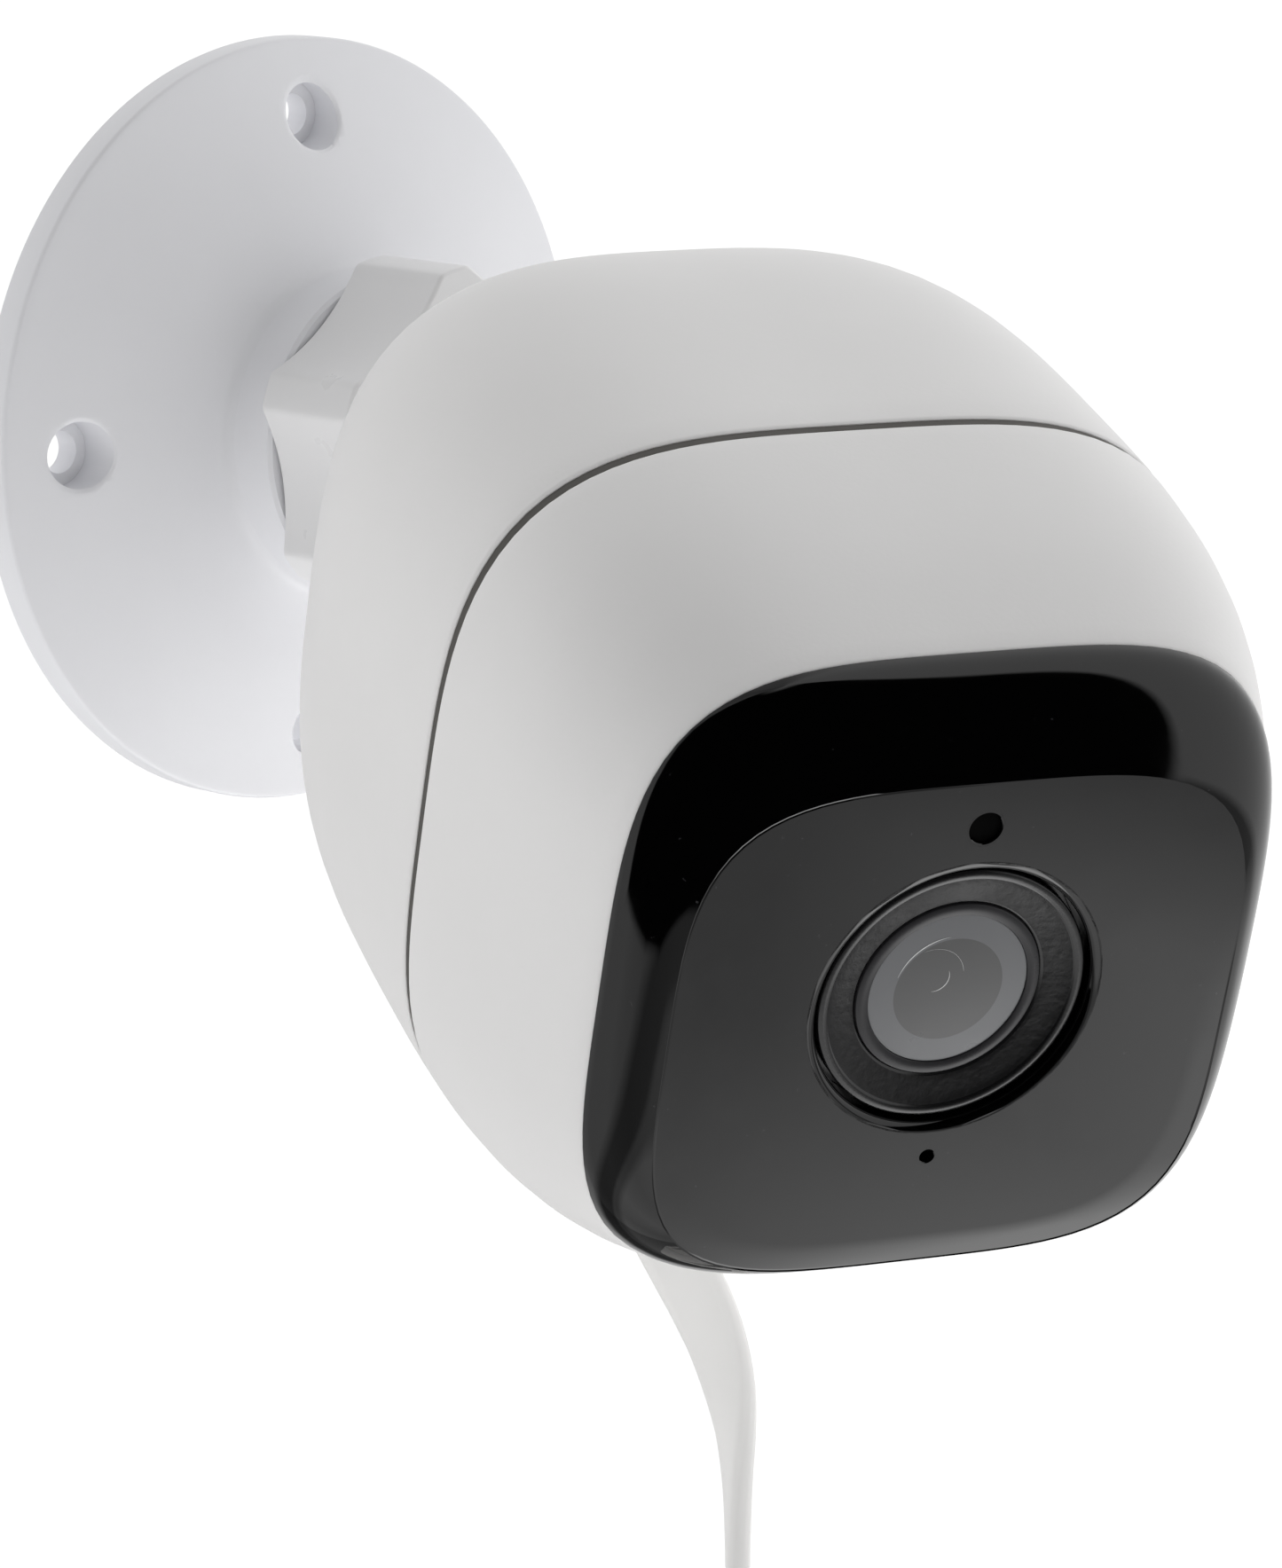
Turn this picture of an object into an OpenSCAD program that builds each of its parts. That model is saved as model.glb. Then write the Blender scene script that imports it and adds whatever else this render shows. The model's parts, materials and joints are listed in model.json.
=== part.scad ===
// Wall-mounted security camera with a ball joint, a locking knob and a flat power lead.
// The wall is the plane y = 0, the camera looks towards -Y, and +Z is up.
// The origin is the centre of the wall plate's back face.

/* [Wall plate] */
// Radius of the round wall plate
plate_r = 32; // [30:0.5:36]
// Thickness of the plate at its rim
plate_rim = 3; // [2.6:0.1:3.4]
// Distance of the screw holes from the centre of the plate
hole_pcr = 25.6; // [24:0.1:26]
// Radius of each screw hole
hole_r = 1.75; // [1.5:0.05:2.2]
// Radius of the counterbore that takes a screw head
cbore_r = 3; // [2.6:0.1:3.4]
// Radius of the round neck that stands out of the plate
neck_r = 13.4; // [12.5:0.1:14]
// Distance from the wall to the end of the neck
neck_end = 14.1; // [13.6:0.1:14.2]

/* [Locking knob] */
// Radius over the tips of the knob's lobes
knob_tip_r = 15.1; // [14.6:0.1:15.6]
// Distance from the wall to the back of the knob
knob_back = 14.4; // [14.3:0.1:15]
// Length of the knob
knob_len = 10.4; // [9.5:0.1:10.8]

/* [Ball joint] */
// Distance from the wall to the centre of the ball
pivot_y = 34; // [33.5:0.5:36]
// Radius of the ball
ball_r = 6.5; // [6.2:0.1:6.6]
// Radius of the stem behind the ball
stem_r = 3.5; // [3:0.1:3.6]
// Turn of the camera about the upright axis, negative towards -X
pan_rest = -23; // [-30:1:0]
// Turn of the camera about its own cross axis, positive looking down
tilt_rest = 20; // [0:1:25]

/* [Camera body] */
// Half of the width of the body at its widest
body_half = 30; // [28:0.5:31]
// Height of the body over its width
body_tall = 1.015; // [1:0.005:1.03]
// Thickness of the plastic housings
wall = 2; // [1.6:0.1:2.2]
// Distance from the ball centre to the flat back of the body
back_w = 6; // [5.8:0.1:6.2]
// Distance from the ball centre to the widest section
wide_w = 45; // [43:0.5:47]
// Distance from the ball centre to the seam between the housings
seam_w = 51.9; // [50:0.1:53]
// Width of the dark seam
seam_gap = 0.8; // [0.6:0.1:1.2]
// Distance from the ball centre to the front edge of the white housing
edge_w = 76; // [75:0.1:77]
// Distance from the ball centre to the flat front panel
panel_w = 81.3; // [81:0.1:82]

/* [Front panel] */
// Half of the width of the flat front panel
panel_half = 21.8; // [21:0.1:22.4]
// Half of the height of the flat front panel
panel_tall = 20.2; // [19.5:0.1:21]
// Height of the panel's centre over the body's axis
panel_v = -2.1; // [-2.6:0.1:-1.6]
// Radius of the round lens recess in the panel
recess_r = 10.6; // [10.2:0.1:11]
// Height of the light sensor window over the lens
sensor_v = 14.3; // [13.8:0.1:14.8]
// Drop of the microphone hole under the lens
mic_v = -13.2; // [-13.8:0.1:-12.6]

/* [Lens] */
// Radius of the lens head
lens_head_r = 6.9; // [6.6:0.1:7]
// Radius of the lens barrel's thread
barrel_r = 6; // [5.8:0.1:6]

/* [Power lead] */
// Width of the flat lead
lead_w = 5.6; // [5:0.1:6]
// Thickness of the flat lead
lead_t = 2; // [1.8:0.1:2.4]
// Radius at the middle of the coil's turns
coil_r = 33; // [30:0.5:33]
// Number of turns in the coil
coil_turns = 4; // [3:1:5]

/* [Hidden] */
$fn = 64;
round_fn = 96;
ring_points = 48;
rear_power = 3;
front_power = 2.5;
rear_len = wide_w - back_w;
front_len = 46.7;
back_power = 3.2;
face_power = 3.82;
panel_power = 3.9;
rear_steps = 9;
front_steps = 6;
rim_steps = 3;

// Ball joint shells, all concentric with the ball
liner_in = ball_r + 0.2;
liner_out = liner_in + 1;
liner_mouth = 68;
liner_front = 5.6;
socket_r = liner_out + 0.2;
collar_r = socket_r + 1.6;
stem_front = pivot_y - 5.2;
knob_front = knob_back + knob_len;
thread_r = 8;
pad_in = 13;
pad_out = 19;
pad_t = 0.8;
spigot_end = 22;
collet_r = 5.9;

// Board and lens stations, measured forward from the ball centre
back_t = 4;
flat_r = 13;
lens_v = 0.2;
cover_t = 2;
cover_back = panel_w - cover_t;
tongue_back = 73;
bezel_back = 75.4;
bezel_front = 80.9;
bezel_r = 9.55;
head_back = 71.5;
head_front = 79.4;
glass_r = 5.95;
barrel_back = 61;
holder_back = 60.6;
board_t = 1.6;
frame_back = 55.6;
sensor_board_w = frame_back - board_t;
chassis_w = 44;
chassis_t = 1.5;
main_board_w = 33;
sink_w = 27;
ir_board_w = 73.2;
screw_at = 11.6;
post_at = 16;
front_at = 20.6;
gland_w = 19;
reset_u = 6;
reset_w = 36.8;

// Route of the lead from the gland to the coil, each point with the heading of its width
route = [
    [-2.8, -40.7, -35.6, -23],
    [-2.3, -39.6, -39, -23],
    [-1.9, -39.4, -43, -24],
    [-1.5, -40.1, -48, -26],
    [-0.8, -41.6, -54, -31],
    [0.6, -43.5, -60, -38],
    [2.6, -45, -65, -45],
    [4.9, -45.9, -70, -58],
    [6.8, -46.2, -75, -82],
    [7.9, -46.2, -80, -108],
    [8.4, -46.1, -85, -126],
    [8.6, -46, -91, -134],
    [8.6, -46, -97.3, -135],
    [8.3, -45.7, -101.5, -135],
    [7.4, -44.8, -105.6, -135],
    [6, -43.4, -109.4, -135],
    [4.1, -41.5, -112.7, -135],
    [0.8, -38.2, -117.3, -135],
    [-3.4, -34, -123.3, -135],
    [-7.9, -29.5, -129.7, -135]
];
// The lead's far end, hanging under the coil
tail = [
    [-32.2, -40.2, -153, -135],
    [-32.2, -40.2, -165, -135],
    [-32.2, -40.2, -180, -135],
    [-32.2, -40.2, -194, -135]
];
// The coil hangs with its axis level
coil_x = 8.6;
coil_y = -46;
coil_z = -153;
coil_turn = -45;
coil_pitch = lead_w + 0.4;
coil_start = 135;
coil_depth = coil_pitch * (coil_turns + (180 - coil_start) / 360);
plug_x = -32.2;
plug_y = -40.2;
plug_z = -194;
plug_long = 24;
shell_long = 12;

white = [0.9, 0.9, 0.91];
pale = [0.84, 0.84, 0.85];
black = [0.03, 0.03, 0.035];
dark = [0.16, 0.16, 0.17];
steel = [0.7, 0.7, 0.72];
brass = [0.78, 0.62, 0.3];
board_green = [0.05, 0.3, 0.16];
glass_blue = [0.5, 0.58, 0.66];

// ---- shape functions ----

// Signed power, for superellipses
function spow(x, p) = sign(x) * pow(abs(x), p);

// Half width of the body at station w
function half_at(w) =
    let(t = w < wide_w ? (wide_w - w) / rear_len : (w - wide_w) / front_len)
    let(p = w < wide_w ? rear_power : front_power)
    body_half * pow(max(0, 1 - pow(t, p)), 1 / p);

// Corner power of the body's section at station w
function power_at(w) = back_power + (face_power - back_power) * (w - back_w) / (edge_w - back_w);

// One ring of points: a superellipse of half sizes a and b in the plane w
function ring(a, b, power, w, v = 0) = [
    for (i = [0 : ring_points - 1])
        let(t = 360 * i / ring_points)
        [a * spow(cos(t), 2 / power), v + b * spow(sin(t), 2 / power), w]
];

// Section of the body at station w, moved inwards
function body_ring(w, inset = 0) =
    ring(half_at(w) - inset, half_at(w) * body_tall - inset, power_at(w), w);

// Solid between rings taken in order round a closed loop
module skin(rings) {
    n = len(rings);
    m = ring_points;
    polyhedron(
        points = [for (r = rings) each r],
        faces = [
            for (j = [0 : n - 1])
                for (i = [0 : m - 1])
                    let(k = (i + 1) % m, q = (j + 1) % n)
                    each [[j * m + i, q * m + i, q * m + k], [j * m + i, q * m + k, j * m + k]]
        ]
    );
}

// ---- frames ----

// Design frame of the wall side: z runs out of the wall
module from_wall() {
    rotate([90, 0, 0]) children();
}

// Design frame of the camera: z runs forward from the ball centre and y is up
module on_camera() {
    translate([0, -pivot_y, 0])
        rotate([0, 0, pan_rest])
            rotate([tilt_rest, 0, 0])
                rotate([90, 0, 0]) children();
}

// Design frame of the liner: turned by the pan alone
module on_liner() {
    translate([0, -pivot_y, 0])
        rotate([0, 0, pan_rest])
            rotate([90, 0, 0]) children();
}

// Design frame of the coil: z is the coil's axis and y is up
module on_coil() {
    translate([coil_x, coil_y, coil_z])
        rotate([0, 0, coil_turn])
            rotate([90, 0, 0]) children();
}

// Copies at the four corners of a square
module corners(at) {
    for (x = [-at, at])
        for (y = [-at, at])
            translate([x, y, 0]) children();
}

// Tube of the given radii and length
module pipe(r_out, r_in, h) {
    difference() {
        cylinder(r = r_out, h = h);
        translate([0, 0, -1]) cylinder(r = r_in, h = h + 2);
    }
}

// Rectangular block centred on x and y
module slab(x, y, z) {
    translate([-x / 2, -y / 2, 0]) cube([x, y, z]);
}

// ---- wall side ----

module wall_plate() {
    color(white)
        from_wall()
            difference() {
                rotate_extrude($fn = round_fn)
                    polygon([
                        [stem_r + 0.05, 4.4], [10, 4.4], [10, 0], [pad_in, 0], [pad_in, pad_t],
                        [pad_out, pad_t], [pad_out, 0], [plate_r - 0.3, 0], [plate_r, 0.3],
                        [plate_r, plate_rim - 0.4], [plate_r - 0.4, plate_rim], [hole_pcr, 5.1],
                        [19, 7.2], [15.6, 8.7], [neck_r, 10.4], [neck_r, neck_end],
                        [thread_r, neck_end], [thread_r, spigot_end], [collet_r + 0.1, spigot_end],
                        [collet_r + 0.1, 16], [stem_r + 0.05, 16]
                    ]);
                for (a = [0 : 90 : 270])
                    rotate([0, 0, a])
                        translate([hole_pcr, 0, 0]) {
                            translate([0, 0, -1]) cylinder(r = hole_r, h = 10);
                            translate([0, 0, 2.2]) cylinder(r = cbore_r, h = 10);
                        }
            }
}

// Thin rubber ring let into the back of the plate
module mount_pad() {
    color(dark)
        from_wall() pipe(pad_out, pad_in, pad_t);
}

// Split cone that grips the stem when the knob is tight
module collet_ring() {
    color(dark)
        from_wall()
            difference() {
                rotate_extrude($fn = round_fn)
                    polygon([
                        [stem_r + 0.06, 17.5], [collet_r, 17.5], [collet_r, spigot_end],
                        [collet_r + 0.4, spigot_end + 0.2], [4.6, 23.8], [stem_r + 0.06, 23.8]
                    ]);
                translate([0, -0.4, 16]) cube([10, 0.8, 10]);
            }
}

// Six-lobed knob: a tipped disc with a round flute between each two lobes
module lock_knob() {
    valley_r = 12.7;
    flute_r = 17.9;
    color(white)
        from_wall()
            difference() {
                rotate_extrude($fn = round_fn)
                    polygon([
                        [9.05, knob_back], [knob_tip_r - 0.4, knob_back], [knob_tip_r, knob_back + 0.4],
                        [knob_tip_r, knob_front - 0.5], [knob_tip_r - 0.5, knob_front],
                        [9.6, knob_front], [8.4, knob_front - 0.6], [4.9, knob_front - 0.6],
                        [6.6, spigot_end + 0.6], [9.05, spigot_end + 0.6]
                    ]);
                for (a = [10 : 60 : 310])
                    rotate([0, 0, a])
                        translate([valley_r + flute_r, 0, knob_back - 1])
                            cylinder(r = flute_r, h = knob_len + 2);
            }
}

// Threaded brass insert moulded into the knob
module knob_insert() {
    color(brass)
        from_wall()
            translate([0, 0, knob_back + 0.2]) pipe(9.05, thread_r + 0.06, spigot_end - knob_back - 0.2);
}

// Ball, stem and retaining foot in one piece
module ball_stud() {
    color(steel)
        from_wall() {
            rotate_extrude($fn = round_fn)
                polygon([
                    [0, 1.2], [2, 1.2], [2, 4.3], [stem_r, 4.3], [stem_r, stem_front], [0, stem_front]
                ]);
            translate([0, 0, pivot_y]) sphere(r = ball_r, $fn = round_fn);
        }
}

module stud_washer() {
    color(steel)
        from_wall()
            translate([0, 0, 3.4]) pipe(6, 2.06, 0.9);
}

module stud_nut() {
    color(steel)
        from_wall()
            translate([0, 0, 1]) difference() {
                cylinder(r = 4.4, h = 2.4, $fn = 6);
                translate([0, 0, -1]) cylinder(r = 2.02, h = 5);
            }
}

// ---- ball joint on the camera ----

// Low-friction ring between the ball and its socket
module friction_liner() {
    color(pale)
        on_liner()
            difference() {
                sphere(r = liner_out, $fn = round_fn);
                sphere(r = liner_in, $fn = round_fn);
                rotate([180, 0, 0]) cylinder(h = 20, r1 = 0, r2 = 20 * tan(liner_mouth));
                translate([0, 0, liner_front]) cylinder(r = 20, h = 10);
            }
}

// Front half of the socket, with a flange screwed inside the housing
module ball_seat() {
    color(pale)
        on_camera()
            difference() {
                union() {
                    translate([0, 0, -0.2])
                        cylinder(r = collar_r, h = back_w + back_t + 2.6, $fn = round_fn);
                    translate([0, 0, back_w + back_t]) cylinder(r = flat_r + 0.4, h = 2.4);
                }
                sphere(r = socket_r, $fn = round_fn);
                translate([0, 0, -1.2]) cylinder(r = socket_r, h = 1.2, $fn = round_fn);
            }
}

// Rear ring that keeps the ball in the socket
module ball_retainer() {
    color(white)
        on_camera()
            difference() {
                intersection() {
                    sphere(r = collar_r, $fn = round_fn);
                    translate([0, 0, -2.4]) cylinder(r = collar_r + 1, h = 2.2);
                }
                sphere(r = socket_r, $fn = round_fn);
            }
}

// Three screws through the seat's flange into the housing
module retainer_screws() {
    color(steel)
        on_camera()
            for (a = [90 : 120 : 330])
                rotate([0, 0, a])
                    translate([11.6, 0, back_w + back_t + 2.4]) cylinder(r = 1.4, h = 1.1);
}

// ---- housings ----

// Stations of the rear housing, closer together where the back turns into the sides
function rear_station(i) =
    let(t = i / rear_steps)
    back_w + 1.2 + (seam_w - seam_gap / 2 - back_w - 1.2) * pow(t, 1.6);

module rear_housing() {
    opening = collar_r + 0.15;
    inner_from = 3;
    color(white)
        on_camera()
            difference() {
                skin(concat(
                    [ring(opening, opening, 2, back_w), ring(flat_r, flat_r, 2.2, back_w)],
                    [for (i = [0 : rear_steps]) body_ring(rear_station(i))],
                    [for (i = [rear_steps : -1 : inner_from]) body_ring(rear_station(i), wall)],
                    [ring(flat_r + 1, flat_r + 1, 2.2, back_w + back_t)],
                    [ring(opening, opening, 2, back_w + back_t)]
                ));
                corners(screw_at) {
                    translate([0, 0, back_w - 2]) cylinder(r = 2.4, h = 5);
                    translate([0, 0, back_w]) cylinder(r = 1.3, h = 8);
                }
                translate([0, -20, gland_w]) rotate([90, 0, 0]) cylinder(r = 4, h = 20);
                translate([reset_u, -20, reset_w]) rotate([90, 0, 0]) cylinder(r = 2.1, h = 20);
            }
}

module seam_gasket() {
    color(dark)
        on_camera()
            skin([
                body_ring(seam_w - seam_gap / 2, 0.6), body_ring(seam_w + seam_gap / 2, 0.6),
                body_ring(seam_w + seam_gap / 2, wall + 0.4), body_ring(seam_w - seam_gap / 2, wall + 0.4)
            ]);
}

function front_station(i) =
    seam_w + seam_gap / 2 + (edge_w - seam_w - seam_gap / 2) * i / front_steps;

module front_housing() {
    color(white)
        on_camera() {
            skin(concat(
                [for (i = [0 : front_steps]) body_ring(front_station(i))],
                [for (i = [front_steps : -1 : 0]) body_ring(front_station(i), wall)]
            ));
            corners(front_at)
                translate([0, 0, chassis_w + chassis_t]) pipe(2.7, 1, 12);
            for (a = [45 : 90 : 315])
                rotate([0, 0, a])
                    translate([front_at * sqrt(2) + 2, -1, seam_w + seam_gap])
                        cube([2.4, 2, 4.6]);
        }
}

// Long screws that clamp the rear housing to the chassis
module housing_screws() {
    color(steel)
        on_camera()
            corners(screw_at) {
                translate([0, 0, back_w + 2]) cylinder(r = 2.1, h = 1);
                translate([0, 0, back_w + 3]) cylinder(r = 1.1, h = 16);
            }
}

// Rubber plugs over the heads of the long screws
module screw_plugs() {
    color(pale)
        on_camera()
            corners(screw_at)
                translate([0, 0, back_w + 1.1]) cylinder(r = 2.35, h = 0.9);
}

// ---- front ----

// Ring of the sloping rim between the housing's edge and the flat panel
function rim_ring(i) =
    let(a = 60 * i / rim_steps)
    let(f = (cos(a) - cos(60)) / (1 - cos(60)), g = sin(a) / sin(60))
    let(half = half_at(edge_w), tall = half * body_tall)
    ring(
        panel_half + (half - panel_half) * f,
        panel_tall + (tall - panel_tall) * f,
        face_power + (panel_power - face_power) * g,
        edge_w + (panel_w - edge_w) * g,
        panel_v * (1 - f)
    );

module front_cover() {
    inner = recess_r - 1;
    tongue_gap = wall + 0.15;
    tongue_in = wall + 1.4;
    color(black)
        on_camera()
            difference() {
                skin(concat(
                    [for (i = [0 : rim_steps]) rim_ring(i)],
                    [ring(inner, inner, 2, panel_w, lens_v), ring(inner, inner, 2, cover_back, lens_v)],
                    [ring(panel_half - 1.4, panel_tall - 1.4, panel_power, cover_back, panel_v)],
                    [body_ring(edge_w, tongue_in), body_ring(tongue_back, tongue_in)],
                    [body_ring(tongue_back, tongue_gap), body_ring(edge_w, tongue_gap)]
                ));
                translate([0, lens_v, tongue_back]) cylinder(r = recess_r, h = 20, $fn = round_fn);
                translate([0, sensor_v, tongue_back]) cylinder(r = 1.25, h = 20);
                translate([0, mic_v, tongue_back]) cylinder(r = 0.55, h = 20);
            }
}

// Cone round the lens, with a flange against the back of the cover
module lens_bezel() {
    color(dark)
        on_camera()
            translate([0, lens_v, 0])
                rotate_extrude($fn = round_fn)
                    polygon([
                        [7.1, bezel_back], [bezel_r, bezel_back], [bezel_r, 78.2], [12.4, 78.2],
                        [12.4, cover_back], [bezel_r, cover_back], [bezel_r, bezel_front - 0.2],
                        [bezel_r - 0.2, bezel_front], [9, bezel_front], [7.1, 79.7]
                    ]);
}

module lens_barrel() {
    color(black)
        on_camera()
            translate([0, lens_v, 0])
                rotate_extrude($fn = round_fn)
                    polygon([
                        [4, barrel_back], [barrel_r, barrel_back], [barrel_r, head_back],
                        [lens_head_r, head_back], [lens_head_r, head_front - 0.2],
                        [lens_head_r - 0.2, head_front], [glass_r + 0.2, head_front],
                        [glass_r + 0.02, head_front - 0.3], [glass_r + 0.02, 77.2], [4, 77.2]
                    ]);
}

// Shallow dome of glass at the front of the lens
module front_lens() {
    sag = 0.7;
    edge_t = 0.5;
    base = 78;
    color(glass_blue)
        on_camera()
            translate([0, lens_v, base])
                rotate_extrude($fn = round_fn)
                    polygon(concat(
                        [[0, 0], [glass_r, 0]],
                        [for (i = [5 : -1 : 0])
                            let(t = i / 5) [glass_r * t, edge_t + sag * (1 - t * t)]]
                    ));
}

// Pale ring that frames the glass from behind
module lens_baffle() {
    color(pale)
        on_camera()
            translate([0, lens_v, 77.2]) pipe(glass_r, 4.4, 0.8);
}

module rear_lens() {
    color(glass_blue)
        on_camera()
            translate([0, lens_v, 0]) {
                translate([0, 0, 62]) cylinder(r = 3.95, h = 3);
                translate([0, 0, 70]) cylinder(r = 3.95, h = 2.5);
            }
}

// ---- boards and inner parts ----

module lens_holder() {
    color(black)
        on_camera()
            translate([0, lens_v, holder_back])
                difference() {
                    union() {
                        slab(20, 20, 1.6);
                        cylinder(r = 7.6, h = 9.9);
                    }
                    translate([0, 0, -1]) cylinder(r = barrel_r + 0.05, h = 20);
                }
}

module sensor_board() {
    color(board_green)
        on_camera()
            translate([0, 0, sensor_board_w])
                difference() {
                    slab(36, 36, board_t);
                    corners(post_at) translate([0, 0, -1]) cylinder(r = 1.1, h = 5);
                }
}

module image_sensor() {
    color(dark)
        on_camera()
            translate([0, lens_v, frame_back]) slab(9, 9, 1.4);
}

// Channel in which the filter slider crosses the light path
module filter_frame() {
    color(black)
        on_camera()
            translate([0, lens_v, frame_back])
                difference() {
                    slab(26, 20, 5);
                    translate([0, 0, -1]) slab(10, 10, 2.7);
                    translate([0, 0, 2.6]) slab(23, 10.6, 1.8);
                    cylinder(r = 4.6, h = 12, center = true);
                }
}

module filter_slider() {
    color(pale)
        on_camera()
            translate([3.5, lens_v, frame_back + 2.9])
                difference() {
                    slab(15, 10, 0.8);
                    for (x = [-3.5, 3.5])
                        translate([x, 0, -1]) slab(5.4, 7.4, 3);
                }
}

// Infrared-cut pane and clear pane on the slider
module filter_glass() {
    color(glass_blue)
        on_camera()
            for (x = [0, 7])
                translate([x, lens_v, frame_back + 3.7]) slab(6.4, 8.4, 0.4);
}

module filter_motor() {
    color(brass)
        on_camera()
            translate([0, lens_v - 13, frame_back]) slab(8, 6, 4.6);
}

module standoffs() {
    color(brass)
        on_camera()
            corners(12.6)
                translate([0, 0, frame_back]) cylinder(r = 1.9, h = ir_board_w - frame_back);
}

module ir_board() {
    color(board_green)
        on_camera()
            translate([0, lens_v, ir_board_w]) pipe(19, 8.4, board_t);
}

module ir_leds() {
    color(glass_blue)
        on_camera()
            for (a = [0, 45, 135, 180, 225, 315])
                rotate([0, 0, a])
                    translate([14.5, 0, ir_board_w + board_t]) {
                        slab(3.2, 3.2, 1);
                        translate([0, 0, 1]) cylinder(r = 1.4, h = 0.8);
                    }
}

module light_sensor() {
    color(dark)
        on_camera()
            translate([0, sensor_v, ir_board_w + board_t]) slab(3, 3, 1.2);
}

module light_guide() {
    color(glass_blue)
        on_camera()
            translate([0, sensor_v, ir_board_w + board_t + 1.2])
                cylinder(r = 1.2, h = panel_w - 0.3 - ir_board_w - board_t - 1.2);
}

module microphone() {
    color(brass)
        on_camera()
            translate([0, mic_v, ir_board_w + board_t]) slab(3.8, 3, 1.2);
}

module mic_boot() {
    color(dark)
        on_camera()
            translate([0, mic_v, ir_board_w + board_t + 1.2])
                pipe(2.4, 0.6, 78.1 - ir_board_w - board_t - 1.2);
}

// Inner frame: a plate with posts for both boards and tubes for the long screws
module chassis() {
    main_front = main_board_w + board_t;
    plate_front = chassis_w + chassis_t;
    tube_back = 12.4;
    color(dark)
        on_camera()
            difference() {
                union() {
                    translate([0, 0, chassis_w]) slab(44, 44, chassis_t);
                    corners(post_at) {
                        translate([0, 0, plate_front]) cylinder(r = 2.4, h = sensor_board_w - plate_front);
                        translate([0, 0, main_front]) cylinder(r = 2.4, h = chassis_w - main_front);
                    }
                    corners(screw_at)
                        translate([0, 0, tube_back]) cylinder(r = 2.2, h = chassis_w - tube_back);
                }
                corners(screw_at) translate([0, 0, tube_back - 1]) cylinder(r = 1.15, h = 15);
                translate([-7.5, 13.8, chassis_w - 1]) cube([15, 2.4, 4]);
                corners(front_at) translate([0, 0, chassis_w - 1]) cylinder(r = 1, h = 4);
            }
}

module main_board() {
    color(board_green)
        on_camera()
            translate([0, 0, main_board_w])
                difference() {
                    slab(40, 40, board_t);
                    corners(screw_at) translate([0, 0, -1]) cylinder(r = 2.3, h = 5);
                    corners(post_at) translate([0, 0, -1]) cylinder(r = 1.1, h = 5);
                }
}

module processor() {
    color(dark)
        on_camera()
            translate([0, 0, main_board_w + board_t]) slab(14, 14, 1.3);
}

module heat_sink() {
    fins = 5;
    color(steel)
        on_camera()
            translate([0, 0, sink_w]) {
                translate([0, 0, 4.5]) slab(16, 16, 1.5);
                for (i = [0 : fins - 1])
                    translate([-7.2 + i * 3.6, 0, 0]) slab(1.4, 16, 4.5);
            }
}

module wifi_antenna() {
    color(brass)
        on_camera()
            translate([0, 22.4, 41]) slab(26, 0.8, 8);
}

module flex_cable() {
    color(brass)
        on_camera()
            translate([0, 15, main_board_w + board_t])
                slab(13, 0.4, sensor_board_w - main_board_w - board_t);
}

// Screws that hold both boards to the chassis posts
module board_screws() {
    color(steel)
        on_camera()
            corners(post_at) {
                translate([0, 0, frame_back]) cylinder(r = 1.9, h = 0.8);
                translate([0, 0, main_board_w - 0.8]) cylinder(r = 1.9, h = 0.8);
            }
}

// Screws from the chassis into the bosses of the front housing
module front_screws() {
    color(steel)
        on_camera()
            corners(front_at) {
                translate([0, 0, chassis_w - 1]) cylinder(r = 1.9, h = 1);
                translate([0, 0, chassis_w]) cylinder(r = 0.95, h = 10);
            }
}

module reset_switch() {
    color(dark)
        on_camera()
            translate([reset_u, -18.6, main_board_w + board_t]) slab(6, 5.2, 4.4);
}

// Round button under the body, with a foot that keeps it from falling out
module reset_button() {
    color(pale)
        on_camera()
            translate([reset_u, -21.8, reset_w])
                rotate([90, 0, 0]) {
                    cylinder(r = 1.95, h = 8.3);
                    translate([0, 0, 4.4]) cylinder(r = 2.7, h = 1);
                }
}

// ---- power lead ----

// Round rubber gland that tapers onto the lead
module cable_gland() {
    color(white)
        on_camera()
            translate([0, 0, gland_w])
                rotate([90, 0, 0])
                    rotate_extrude()
                        polygon([[0, 16], [3.9, 16], [3.9, 29.4], [3.2, 31], [0, 31]]);
}

module gland_nut() {
    color(dark)
        on_camera()
            translate([0, -18, gland_w])
                rotate([90, 0, 0]) pipe(5, 3.95, 2.4);
}

// Wires from the gland to the main board
module power_wires() {
    color(black)
        on_camera() {
            translate([0, -14.8, gland_w]) rotate([90, 0, 0]) cylinder(r = 1.2, h = 1.2);
            translate([0, -14.8, gland_w]) sphere(r = 1.2);
            translate([0, -14.8, gland_w]) cylinder(r = 1.2, h = main_board_w - gland_w);
        }
}

// Section of the flat lead, as offsets along its width and its thickness
lead_section = [
    [lead_w / 2, -lead_t / 4], [lead_w / 2, lead_t / 4], [lead_w * 0.4, lead_t / 2],
    [-lead_w * 0.4, lead_t / 2], [-lead_w / 2, lead_t / 4], [-lead_w / 2, -lead_t / 4],
    [-lead_w * 0.4, -lead_t / 2], [lead_w * 0.4, -lead_t / 2]
];

function unit(v) = v / norm(v);
function spot(p) = [p[0], p[1], p[2]];

// Section of the lead at point i of a route, square to the route there
function lead_ring(path, i) =
    let(last = len(path) - 1)
    let(along = unit(spot(path[min(i + 1, last)]) - spot(path[max(i - 1, 0)])))
    let(heading = [cos(path[i][3]), sin(path[i][3]), 0])
    let(wide = unit(heading - (heading * along) * along))
    let(thick = cross(along, wide))
    [for (s = lead_section) spot(path[i]) + s[0] * wide + s[1] * thick];

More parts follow.
